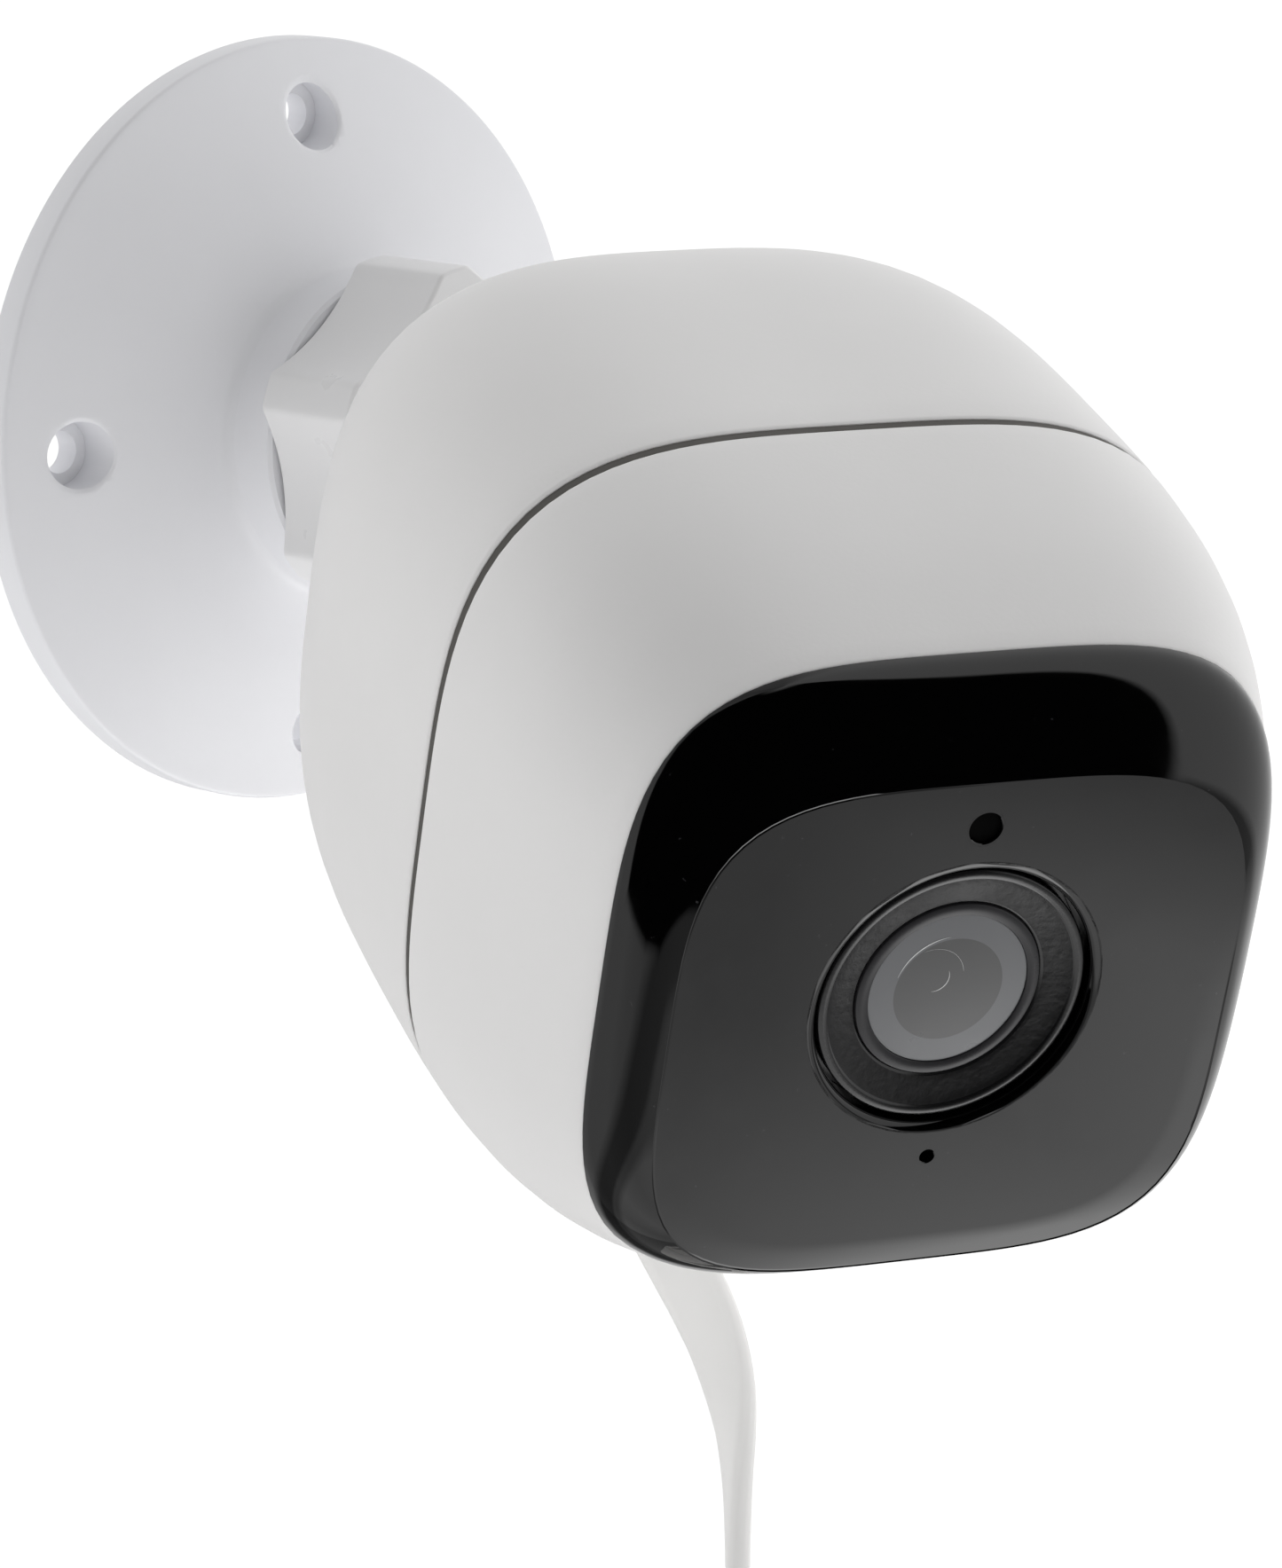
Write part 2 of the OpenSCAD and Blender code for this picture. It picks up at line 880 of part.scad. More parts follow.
// Flat lead swept along a route, closed at both ends
module lead(path) {
    m = len(lead_section);
    n = len(path);
    polyhedron(
        points = [for (i = [0 : n - 1]) each lead_ring(path, i)],
        faces = concat(
            [[for (i = [0 : m - 1]) i]],
            [
                for (j = [0 : n - 2])
                    for (i = [0 : m - 1])
                        let(k = (i + 1) % m)
                        each [
                            [j * m + i, (j + 1) * m + i, (j + 1) * m + k],
                            [j * m + i, (j + 1) * m + k, j * m + k]
                        ]
            ],
            [[for (i = [m - 1 : -1 : 0]) (n - 1) * m + i]]
        )
    );
}

module power_cord() {
    color(white) lead(route);
}

module cord_tail() {
    color(white) lead(tail);
}

// Outer shape of the coiled part of the lead
module cord_coil() {
    color(white)
        on_coil()
            translate([0, 0, -lead_w / 2])
                pipe(coil_r + lead_t / 2, coil_r - lead_t / 2, coil_depth + lead_w);
}

// Strap round the turns at the top of the coil
module coil_tie() {
    strap_t = 0.8;
    strap_w = 9;
    deep = coil_depth + lead_w;
    tall = lead_t + 1;
    color(dark)
        on_coil()
            difference() {
                translate([-strap_w / 2, coil_r - tall / 2 - strap_t, -lead_w / 2 - strap_t])
                    cube([strap_w, tall + 2 * strap_t, deep + 2 * strap_t]);
                translate([-strap_w, coil_r - tall / 2, -lead_w / 2])
                    cube([2 * strap_w, tall, deep]);
            }
}

// Frame of the plug: z runs up the lead and x along its width
module on_plug() {
    translate([plug_x, plug_y, plug_z]) rotate([0, 0, coil_turn + 90]) children();
}

// Bar with round corners, centred on x and y
module round_bar(x, y, r, h) {
    linear_extrude(h)
        union() {
            square([x - 2 * r, y], center = true);
            square([x, y - 2 * r], center = true);
            for (i = [-1, 1])
                for (j = [-1, 1])
                    translate([i * (x / 2 - r), j * (y / 2 - r)]) circle(r = r);
        }
}

module plug_body() {
    color(white)
        on_plug() {
            translate([0, 0, -plug_long]) round_bar(15.6, 8, 2, plug_long - 6);
            translate([0, 0, -6]) round_bar(9, 5, 1.6, 6);
        }
}

module plug_shell() {
    color(steel)
        on_plug()
            translate([0, 0, -plug_long - shell_long])
                difference() {
                    slab(12, 4.5, shell_long);
                    translate([0, 0, -1]) slab(11.4, 3.9, shell_long + 2);
                }
}

module plug_tongue() {
    color(black)
        on_plug()
            translate([0, 1, -plug_long - shell_long + 0.4]) slab(11.2, 1.7, shell_long - 0.4);
}

module plug_contacts() {
    color(brass)
        on_plug()
            for (i = [-1.5 : 1 : 1.5])
                translate([i * 2.3, 0, -plug_long - shell_long + 1.4]) slab(1, 0.3, 8);
}

wall_plate();
mount_pad();
collet_ring();
lock_knob();
knob_insert();
ball_stud();
stud_washer();
stud_nut();
friction_liner();
ball_seat();
ball_retainer();
retainer_screws();
rear_housing();
seam_gasket();
front_housing();
housing_screws();
screw_plugs();
front_cover();
lens_bezel();
lens_barrel();
front_lens();
lens_baffle();
rear_lens();
lens_holder();
sensor_board();
image_sensor();
filter_frame();
filter_slider();
filter_glass();
filter_motor();
standoffs();
ir_board();
ir_leds();
light_guide();
light_sensor();
microphone();
mic_boot();
chassis();
main_board();
processor();
heat_sink();
wifi_antenna();
flex_cable();
board_screws();
front_screws();
reset_switch();
reset_button();
cable_gland();
gland_nut();
power_wires();
power_cord();
cord_coil();
coil_tie();
cord_tail();
plug_body();
plug_shell();
plug_tongue();
plug_contacts();
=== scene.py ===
import json
import math
import bmesh
import bpy
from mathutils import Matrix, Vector
from mathutils.geometry import delaunay_2d_cdt


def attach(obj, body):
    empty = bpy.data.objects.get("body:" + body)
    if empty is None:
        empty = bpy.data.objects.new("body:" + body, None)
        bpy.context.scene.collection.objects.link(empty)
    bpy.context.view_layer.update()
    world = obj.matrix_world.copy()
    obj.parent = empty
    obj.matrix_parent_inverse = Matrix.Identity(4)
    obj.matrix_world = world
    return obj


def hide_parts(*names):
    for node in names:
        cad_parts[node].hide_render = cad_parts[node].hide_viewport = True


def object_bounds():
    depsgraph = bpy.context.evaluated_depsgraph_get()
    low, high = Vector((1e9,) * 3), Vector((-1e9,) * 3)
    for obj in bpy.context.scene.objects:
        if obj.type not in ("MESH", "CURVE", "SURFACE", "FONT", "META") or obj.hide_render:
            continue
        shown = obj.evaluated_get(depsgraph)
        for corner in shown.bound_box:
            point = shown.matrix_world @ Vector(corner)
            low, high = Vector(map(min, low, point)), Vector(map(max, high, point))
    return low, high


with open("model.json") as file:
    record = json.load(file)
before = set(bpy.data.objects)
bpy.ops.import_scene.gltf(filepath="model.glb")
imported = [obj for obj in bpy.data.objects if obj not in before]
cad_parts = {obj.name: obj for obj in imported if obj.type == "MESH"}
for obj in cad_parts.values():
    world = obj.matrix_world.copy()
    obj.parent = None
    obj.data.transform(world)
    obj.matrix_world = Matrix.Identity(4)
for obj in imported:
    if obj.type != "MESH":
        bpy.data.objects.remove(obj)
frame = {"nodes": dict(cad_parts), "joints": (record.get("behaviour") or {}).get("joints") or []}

cad_low, cad_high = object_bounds()

# Lengths below are in millimetres, and mm() or the frames turn them into metres.
MM = 0.001


def mm(x, y, z):
    return Vector((x, y, z)) * MM


# ---- sizes shared with the CAD source ----
PLATE_R = 32
PLATE_RIM = 3
HOLE_PCR = 25.6
HOLE_R = 1.75
CBORE_R = 3
PLATE_SLOPE = math.radians(19)
HOLE_HEIGHT = 5.05
NECK_R = 13.4
NECK_END = 14.1
KNOB_TIP_R = 15.1
KNOB_VALLEY_R = 12.7
KNOB_FLUTE_R = 17.9
KNOB_BACK = 14.4
KNOB_FRONT = 24.8
KNOB_FIRST_FLUTE = 10
KNOB_CRISP = 130
BODY_HALF = 30
BODY_TALL = 1.015
WALL = 2
BACK_W = 6
WIDE_W = 45
SEAM_W = 51.6
SEAM_GAP = 0.95
SEAM_SUNK = 0.2
LIP_ROUND = 0.14
LIP_EASE = 0.03
LIP_RISE = 0.12
LIP_FIRST = 0.35
EDGE_W = 76
PANEL_W = 81.3
REAR_POWER = 3.45
FRONT_POWER = 2.5
FRONT_LEN = 46.7
SECTION_BACK = 2.95
SECTION_FACE = 3.82
SECTION_PANEL = 3.9
PANEL_HALF = 21.8
PANEL_TALL = 20.2
PANEL_V = -2.1
LENS_V = 0.2
RECESS_R = 10.6
SENSOR_V = 14.3
SENSOR_R = 1.25
MIC_V = -13.2
MIC_R = 0.55
RECESS_ROUND = 0.6
RECESS_GUARD = 0.15
HOLE_ROUND = 0.06
HOLE_GUARD = 0.2
FACE_GAP = 0.15
FACE_SKIRT = 1.4
FACE_SKIRT_W = 73
FACE_THICK = 2
GROOVE_DEEP = 0.05
RIM_END = 60
RIM_END_COS = 0.5
ROLL_WIDE = 2.3
ROLL_DEEP = 0.08
ROLL_TOWARDS = math.radians(-70)
BEZEL_R = 10.25
HEAD_R = 7.1
GLASS_R = 6.1
BAFFLE_R = 4.5
HEAD_FRONT = 80.0
DOME_BASE = 78.0
DOME_EDGE = 1.86
DOME_SAG = 0.16
# Station of the painted highlight arcs, just over the dome's edge
PAINTED_ARC_W = 79.87
SCREW_AT = 11.6
SCREW_HEAD_R = 2.4
SCREW_R = 1.3
GLAND_R = 4
RESET_R = 2.1
GLAND_W = 19
RESET_U = 6
RESET_W = 36.8
FLAT_R = 13
COLLAR_R = 9.7
LEAD_W = 5.6
LEAD_T = 2
COIL_R = 33
COIL_TURNS = 4
COIL_START = 135
COIL_EXIT = 180
COIL_PITCH = 6
COIL_CENTRE = (8.6, -46, -153)
COIL_TURN = math.radians(-45)
STRAP_W = 9
STRAP_T = 0.75
RING = 128

# ---- frames ----
joints = {j["name"]: j for j in frame["joints"]}
RIGHT = Vector(joints["tilt"]["axis"]).normalized()
UP = Vector(joints["reset_press"]["axis"]).normalized()
FORWARD = RIGHT.cross(UP)
PIVOT = Vector(joints["tilt"]["pos_m"])


def on_camera(u, v, w):
    """A point given across, up and forward of the ball's centre, in the row frame."""
    return PIVOT + (RIGHT * u + UP * v + FORWARD * w) * MM


def from_wall(x, y, z):
    """A point given along, up and out of the wall."""
    return mm(x, -z, y)


def on_coil(x, y, z):
    """A point given in the coil's own frame: z runs along its axis and y is up."""
    c, s = math.cos(COIL_TURN), math.sin(COIL_TURN)
    return mm(*COIL_CENTRE) + mm(x * c + z * s, x * s - z * c, y)


# ---- camera, at the photograph's viewing angle ----
AIM = mm(-7.49, -50.74, -23.1)
EYE = mm(-361.5, -403.5, 79.2)


def make_camera():
    data = bpy.data.cameras.new("view")
    data.lens = 149
    data.sensor_width = 36
    data.sensor_fit = "AUTO"
    data.clip_start = 0.01
    data.clip_end = 50
    eye = bpy.data.objects.new("view", data)
    bpy.context.scene.collection.objects.link(eye)
    eye.location = EYE
    eye.rotation_euler = (AIM - EYE).to_track_quat("-Z", "Y").to_euler()
    bpy.context.scene.camera = eye


make_camera()


# ---- mesh helpers ----
# A triangle whose middle is nearer to a hole's centre than this share of its radius lies in the hole
IN_HOLE = 0.98
# Shortest distance between two points of a filled plane
FILL_EPSILON = 1e-6


def new_object(name, verts, faces, smooth=True, sharp=35):
    mesh = bpy.data.meshes.new(name)
    mesh.from_pydata([tuple(v) for v in verts], [], faces)
    mesh.validate()
    piece = bpy.data.objects.new(name, mesh)
    bpy.context.scene.collection.objects.link(piece)
    outward(mesh)
    if smooth:
        soften(mesh, sharp)
    return piece


def outward(mesh):
    bm = bmesh.new()
    bm.from_mesh(mesh)
    bmesh.ops.recalc_face_normals(bm, faces=bm.faces)
    bm.to_mesh(mesh)
    bm.free()


def soften(mesh, sharp=35):
    """Smooth shading, with a hard edge wherever faces meet at more than sharp degrees."""
    mesh.shade_smooth()
    mesh.set_sharp_from_angle(angle=math.radians(sharp))


def skin(name, rings, place, closed=True, ends=False, sharp=35):
    """Surface through rings of equal length, each a list of points that place() puts in the row frame."""
    count = len(rings[0])
    verts = [place(*p) for ring in rings for p in ring]
    faces = []
    last = len(rings) if closed else len(rings) - 1
    for j in range(last):
        a, b = j * count, (j + 1) % len(rings) * count
        for i in range(count):
            k = (i + 1) % count
            faces.append((a + i, a + k, b + k, b + i))
    if ends:
        faces.append(tuple(range(count)))
        faces.append(tuple((len(rings) - 1) * count + i for i in range(count)))
    return new_object(name, verts, faces, sharp=sharp)


def circle(r, w, u=0, v=0, count=RING):
    return [
        (u + r * math.cos(2 * math.pi * i / count), v + r * math.sin(2 * math.pi * i / count), w)
        for i in range(count)
    ]


def oval(a, b, power, w, v=0):
    """Superellipse of half sizes a and b, with its points spread by angle."""
    points = []
    for i in range(RING):
        t = 2 * math.pi * i / RING
        c, s = math.cos(t), math.sin(t)
        r = (abs(c / a) ** power + abs(s / b) ** power) ** (-1 / power)
        points.append((r * c, v + r * s, w))
    return points


def lathe(name, profile, place, v=0, count=RING):
    """Solid of revolution: profile is a list of (radius, station)."""
    return skin(name, [circle(r, w, v=v, count=count) for r, w in profile], place)


def rounded(points, radius, steps=4):
    """The closed outline again, with each corner cut to an arc-like curve of that size."""
    out = []
    count = len(points)
    for i in range(count):
        a, b, c = (Vector(points[(i + k) % count]) for k in (-1, 0, 1))
        cut = min(radius, 0.45 * (a - b).length, 0.45 * (c - b).length)
        p, q = b + (a - b).normalized() * cut, b + (c - b).normalized() * cut
        for k in range(steps + 1):
            t = k / steps
            out.append(tuple((1 - t) ** 2 * p + 2 * t * (1 - t) * b + t * t * q))
    return out


def pierced(name, strips, place, sharp=35):
    """Solid made of strips of rings that all start in one plane and end in another.

    The first strip is the outside and the others are the walls of holes. Both planes are filled
    between them.
    """
    verts, faces, ends = [], [], ([], [])
    for strip in strips:
        count = len(strip[0])
        for j, ring in enumerate(strip):
            first = len(verts)
            verts += ring
            if j:
                before = first - count
                for i in range(count):
                    k = (i + 1) % count
                    faces.append((before + i, before + k, first + k, first + i))
            if j in (0, len(strip) - 1):
                ends[0 if j == 0 else 1].append(list(range(first, first + count)))
    for loops in ends:
        members = [i for loop in loops for i in loop]
        order = {i: k for k, i in enumerate(members)}
        edges = [(order[loop[i - 1]], order[loop[i]]) for loop in loops for i in range(len(loop))]
        flat = [Vector(verts[i][:2]) for i in members]
        points, _, triangles, origins, _, _ = delaunay_2d_cdt(flat, edges, [], 1, FILL_EPSILON)
        holes = []
        for loop in loops[1:]:
            wall = [Vector(verts[i][:2]) for i in loop]
            centre = sum(wall, Vector((0, 0))) / len(wall)
            holes.append((centre, (wall[0] - centre).length * IN_HOLE))
        for corners in triangles:
            middle = sum((points[i] for i in corners), Vector((0, 0))) / len(corners)
            if not any((middle - centre).length < reach for centre, reach in holes):
                faces.append(tuple(members[origins[i][0]] for i in corners))
    return new_object(name, [place(*p) for p in verts], faces, sharp=sharp)


def cut(piece, cutters, sharp=35):
    """Cuts the cutters out of a piece and removes them."""
    for cutter in cutters:
        step = piece.modifiers.new("cut", "BOOLEAN")
        step.operation = "DIFFERENCE"
        step.solver = "EXACT"
        step.object = cutter
    bpy.context.view_layer.update()
    shaped = piece.evaluated_get(bpy.context.evaluated_depsgraph_get())
    mesh = bpy.data.meshes.new_from_object(shaped)
    piece.modifiers.clear()
    piece.data = mesh
    for cutter in cutters:
        bpy.data.objects.remove(cutter)
    soften(mesh, sharp)


def drill(profile, place, u=0, v=0):
    """A stepped round cutter: profile is a list of (radius, station)."""
    rings = [circle(r, w, u, v, 48) for r, w in profile]
    return skin("cutter", rings, place, closed=False, ends=True)


def weigh(piece):
    """Normals weighted by face area, so that flats stay flat beside narrow rounds."""
    step = piece.modifiers.new("weigh", "WEIGHTED_NORMAL")
    step.keep_sharp = True
    step.weight = 100


# ---- material helpers ----
class Paint:
    """A Principled material with a few node-based details."""

    def __init__(self, name, color, rough, metallic=0.0, ior=1.5):
        self.material = bpy.data.materials.new(name)
        self.material.use_nodes = True
        self.nodes = self.material.node_tree.nodes
        self.links = self.material.node_tree.links
        self.shader = self.nodes["Principled BSDF"]
        self.color = color
        self.set("Base Color", (*color, 1))
        self.set("Roughness", rough)
        self.set("Metallic", metallic)
        self.set("IOR", ior)
        self.place = self.nodes.new("ShaderNodeTexCoord").outputs["Object"]
        self.normal = None

    def set(self, socket, value):
        self.shader.inputs[socket].default_value = value
        return self

    def noise(self, scale, detail=4, stretch=None):
        source = self.place
        if stretch:
            warp = self.nodes.new("ShaderNodeMapping")
            warp.inputs["Scale"].default_value = stretch
            self.links.new(source, warp.inputs["Vector"])
            source = warp.outputs["Vector"]
        node = self.nodes.new("ShaderNodeTexNoise")
        node.inputs["Scale"].default_value = scale
        node.inputs["Detail"].default_value = detail
        self.links.new(source, node.inputs["Vector"])
        return node.outputs["Fac"]

    def span(self, value, low, high, start=0.3, end=0.7):
        node = self.nodes.new("ShaderNodeMapRange")
        limits = {"From Min": start, "From Max": end, "To Min": low, "To Max": high}
        for socket, number in limits.items():
            node.inputs[socket].default_value = number
        self.links.new(value, node.inputs["Value"])
        return node.outputs["Result"]

    def tint(self, value, other):
        """Blends the base colour towards another where value is high."""
        node = self.nodes.new("ShaderNodeMix")
        node.data_type = "RGBA"
        node.inputs["A"].default_value = (*self.color, 1)
        node.inputs["B"].default_value = (*other, 1)
        self.links.new(value, node.inputs["Factor"])
        self.links.new(node.outputs["Result"], self.shader.inputs["Base Color"])
        return self

    def roughen(self, value, low, high):
        self.links.new(self.span(value, low, high), self.shader.inputs["Roughness"])
        return self

    def bump(self, value, depth):
        """Adds relief of that depth in millimetres."""
        node = self.nodes.new("ShaderNodeBump")
        node.inputs["Strength"].default_value = 1
        node.inputs["Distance"].default_value = depth * MM
        self.links.new(value, node.inputs["Height"])
        if self.normal:
            self.links.new(self.normal, node.inputs["Normal"])
        self.normal = node.outputs["Normal"]
        self.links.new(self.normal, self.shader.inputs["Normal"])
        return self


def moulded(name, color, rough, grain=0.012, shade=0.97, grain_scale=2600):
    """Moulded plastic: fine spark-eroded grain, slow change of tone and uneven gloss."""
    paint = Paint(name, color, rough)
    slow = paint.noise(45, 3)
    fine = paint.noise(grain_scale, 3)
    paint.tint(paint.span(slow, 0, 1), tuple(c * shade for c in color))
    paint.roughen(paint.noise(220, 4), rough * 0.9, min(1, rough * 1.12))
    paint.bump(fine, grain)
    return paint


def metal(name, color, rough, stretch=None):
    paint = Paint(name, color, rough, metallic=1.0)
    paint.roughen(paint.noise(900, 4, stretch), rough * 0.75, rough * 1.4)
    paint.tint(paint.span(paint.noise(160, 3), 0, 1), tuple(c * 0.86 for c in color))
    paint.bump(paint.noise(2200, 2, stretch), 0.004)
    return paint


def glossy_black():
    """Infrared-pass face: near black, polished, with faint waviness and a few fine specks of dust."""
    paint = Paint("face_gloss", (0.0008, 0.0008, 0.0009), 0.045, ior=1.5)
    paint.roughen(paint.noise(300, 4), 0.03, 0.07)
    dust = paint.span(paint.noise(1900, 2), 0, 1, 0.74, 0.8)
    paint.tint(dust, (0.03, 0.03, 0.032))
    paint.bump(paint.noise(60, 2), 0.006)
    return paint


def circuit():
    paint = Paint("board_green", (0.012, 0.13, 0.06), 0.35)
    lines = paint.nodes.new("ShaderNodeTexVoronoi")
    lines.feature = "DISTANCE_TO_EDGE"
    lines.inputs["Scale"].default_value = 420
    paint.links.new(paint.place, lines.inputs["Vector"])
    paint.tint(paint.span(lines.outputs["Distance"], 1, 0, 0.02, 0.06), (0.03, 0.24, 0.12))
    paint.bump(lines.outputs["Distance"], 0.02)
    paint.roughen(paint.noise(500, 3), 0.28, 0.45)
    return paint


def strap():
    paint = Paint("strap_woven", (0.018, 0.018, 0.02), 0.85)
    weave = paint.nodes.new("ShaderNodeTexWave")
    weave.inputs["Scale"].default_value = 900
    weave.inputs["Distortion"].default_value = 1.5
    paint.links.new(paint.place, weave.inputs["Vector"])
    paint.bump(weave.outputs["Fac"], 0.12)
    paint.tint(paint.span(paint.noise(700, 3), 0, 1), (0.05, 0.05, 0.055))
    paint.set("Sheen Weight", 0.35)
    return paint


def clear(name, color, rough=0.06):
    paint = Paint(name, color, rough, ior=1.52)
    paint.set("Transmission Weight", 0.85)
    paint.roughen(paint.noise(120, 3), rough * 0.7, rough * 1.3)
    return paint


WHITE = (0.848, 0.841, 0.837)
looks = {
    "housing": moulded("housing_white", WHITE, 0.42),
    "bracket": moulded("bracket_white", (0.9, 0.902, 0.93), 0.36, grain=0.008),
    "knob": moulded("knob_white", (0.9, 0.898, 0.902), 0.3, grain=0.006),
    "pale": moulded("acetal_pale", (0.74, 0.74, 0.73), 0.4),
    "face": glossy_black(),
    "cone": moulded("bezel_textured", (0.005, 0.0048, 0.0055), 0.5, 0.09, grain_scale=1500),
    "ring": moulded("bezel_smooth", (0.006, 0.006, 0.0065), 0.22, grain=0.004),
    "inner": moulded("inner_black", (0.02, 0.02, 0.022), 0.5, grain=0.02),
    "seal": moulded("seal_rubber", (0.105, 0.1, 0.092), 0.8, grain=0.03),
    "plug": moulded("plug_rubber", (0.7, 0.7, 0.69), 0.6, grain=0.02),
    "disc": moulded("lens_disc", (0.075, 0.075, 0.076), 0.3, grain=0.002, shade=0.93),
    "baffle": moulded("lens_baffle", (0.125, 0.128, 0.134), 0.3, grain=0.002),
    "dim_ring": moulded("lens_rim", (0.02, 0.0195, 0.0215), 0.3, grain=0.002),
    # Painted shade: near black with almost no gloss, so the light guide reads as the dark inside of a
    # hole
    "hole": moulded("hole_painted_shade", (0.001, 0.001, 0.001), 0.9, grain=0.004).set("Specular IOR Level", 0.05),
    # Pale grey for the painted highlight arcs that stand in for reflections on the lens
    "painted_highlight": moulded("arc_painted_highlight", (0.75, 0.75, 0.75), 0.4),
    "glass": clear("lens_glass", (0.86, 0.9, 0.93)),
    "steel": metal("steel_plated", (0.56, 0.56, 0.57), 0.28),
    "ball": metal("steel_polished", (0.6, 0.6, 0.61), 0.16),
    "brass": metal("brass_plain", (0.72, 0.52, 0.22), 0.3),
    "sink": metal("sink_anodised", (0.5, 0.51, 0.53), 0.42, (1, 8, 1)),
    "board": circuit(),
    "chip": moulded("chip_epoxy", (0.022, 0.022, 0.024), 0.45, grain=0.02),
    "lead": moulded("lead_vinyl", (0.9, 0.893, 0.88), 0.42, grain=0.01),
    "strap": strap(),
}
looks["dim_ring"].set("Specular IOR Level", 0.28)
looks["cone"].set("Specular IOR Level", 0.35)


def wear(piece, look):
    piece.data.materials.clear()
    piece.data.materials.append(looks[look].material)


# ---- the camera's body ----
def half_at(w):
    """Half width of the body at station w."""
    back = w < WIDE_W
    t = (WIDE_W - w) / (WIDE_W - BACK_W) if back else (w - WIDE_W) / FRONT_LEN
    p = REAR_POWER if back else FRONT_POWER
    return BODY_HALF * max(0, 1 - t ** p) ** (1 / p)


def body_ring(w, inset=0.0, at=None):
    """Section of the body at station w, moved inwards, and placed at another station if one is given."""
    power = SECTION_BACK + (SECTION_FACE - SECTION_BACK) * (w - BACK_W) / (EDGE_W - BACK_W)
    half = half_at(w)
    return oval(half - inset, half * BODY_TALL - inset, power, w if at is None else at)


def rear_stations(first, last, count):
    """Stations that lie closer together where the back turns into the sides."""
    return [first + (last - first) * (i / count) ** 1.7 for i in range(count + 1)]


def make_rear_housing():
    lip = SEAM_W - SEAM_GAP / 2
    outer = [body_ring(w) for w in rear_stations(BACK_W + 1.2, lip - LIP_FIRST, 26)]
    edge = [body_ring(lip, LIP_EASE, lip - LIP_RISE)]
    edge += [body_ring(lip, LIP_ROUND, lip), body_ring(lip, WALL, lip)]
    inner = [body_ring(w, WALL) for w in reversed(rear_stations(12, lip - 1, 12))]
    rings = [circle(COLLAR_R, BACK_W), circle(FLAT_R - 1, BACK_W), circle(FLAT_R, BACK_W + 0.06)]
    back = [circle(FLAT_R + 1, BACK_W + 4), circle(COLLAR_R, BACK_W + 4)]
    piece = skin("housing_rear", rings + outer + edge + inner + back, on_camera, sharp=40)
    seat = BACK_W + 3
    screw = [(SCREW_HEAD_R, BACK_W - 2), (SCREW_HEAD_R, seat), (SCREW_R, seat), (SCREW_R, 16)]
    sides = (-SCREW_AT, SCREW_AT)
    cutters = [drill(screw, on_camera, u, v) for u in sides for v in sides]

    def below(x, y, z):
        return on_camera(x, -z, y)

    for r, u, w in ((GLAND_R, 0, GLAND_W), (RESET_R, RESET_U, RESET_W)):
        cutters.append(drill([(r, 20), (r, 40)], below, u, w))
    cut(piece, cutters, 40)
    wear(piece, "housing")
    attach(piece, "camera")
    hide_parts("rear_housing")


def make_front_housing():
    lip = SEAM_W + SEAM_GAP / 2
    steps = 18
    length = EDGE_W - 0.3 - lip - LIP_FIRST
    stations = [lip + LIP_FIRST + length * i / steps for i in range(steps + 1)]
    rings = [body_ring(lip, WALL, lip), body_ring(lip, LIP_ROUND, lip)]
    rings += [body_ring(lip, LIP_EASE, lip + LIP_RISE)]
    rings += [body_ring(w) for w in stations]
    rings += [body_ring(EDGE_W, 0.06, EDGE_W - 0.1), body_ring(EDGE_W, 0.25, EDGE_W)]
    rings += [body_ring(EDGE_W, WALL, EDGE_W)]
    rings += [body_ring(w, WALL) for w in (70, 64, 58)]
    piece = skin("housing_front", rings, on_camera, sharp=40)
    wear(piece, "housing")
    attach(piece, "camera")
    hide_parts("front_housing")


def make_seam():
    """Dark seal between the two shells, a little under their surface."""
    low, high = SEAM_W - SEAM_GAP / 2, SEAM_W + SEAM_GAP / 2
    deep = WALL + 0.4
    section = ((SEAM_SUNK, low), (LIP_ROUND, SEAM_W), (SEAM_SUNK, high), (deep, high), (deep, low))
    rings = [body_ring(SEAM_W, inset, w) for inset, w in section]
    piece = skin("seam_seal", rings, on_camera)
    wear(piece, "seal")
    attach(piece, "camera")
    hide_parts("seam_gasket")


# ---- glossy face ----
def rim_ring(angle, inset=0.0):
    """Ring of the sloping rim, from the housing's edge at 0 to the flat panel at RIM_END degrees.

    The slope is an arc at the top and sides, and it is nearly straight at the bottom.
    """
    a = math.radians(angle)
    half = half_at(EDGE_W) - 0.02
    tall = half * BODY_TALL

    def ring(f, g):
        return oval(
            PANEL_HALF + (half - PANEL_HALF) * f - inset,
            PANEL_TALL + (tall - PANEL_TALL) * f - inset,
            SECTION_FACE + (SECTION_PANEL - SECTION_FACE) * g,
            EDGE_W + (PANEL_W - EDGE_W) * g,
            PANEL_V * (1 - f),
        )

    out = (math.cos(a) - RIM_END_COS) / (1 - RIM_END_COS)
    arc = ring(out, math.sin(a) / math.sin(math.radians(RIM_END)))
    chord = ring(1 - angle / RIM_END, angle / RIM_END)
    points = []
    for i in range(RING):
        low = max(0, -math.sin(2 * math.pi * i / RING)) ** 1.5 * 0.8
        points.append(tuple(p + (q - p) * low for p, q in zip(arc[i], chord[i])))
    return points


def rolled(inset):
    """Ring inside the panel's outline, sunk a little where the panel rolls off at the lower right."""
    share = 1 - inset / ROLL_WIDE
    points = []
    for i, (u, v, w) in enumerate(rim_ring(RIM_END, inset)):
        t = 2 * math.pi * i / RING
        low = max(0, math.cos(t - ROLL_TOWARDS)) ** 1.5
        points.append((u, v, w - ROLL_DEEP * low * share * share))
    return points


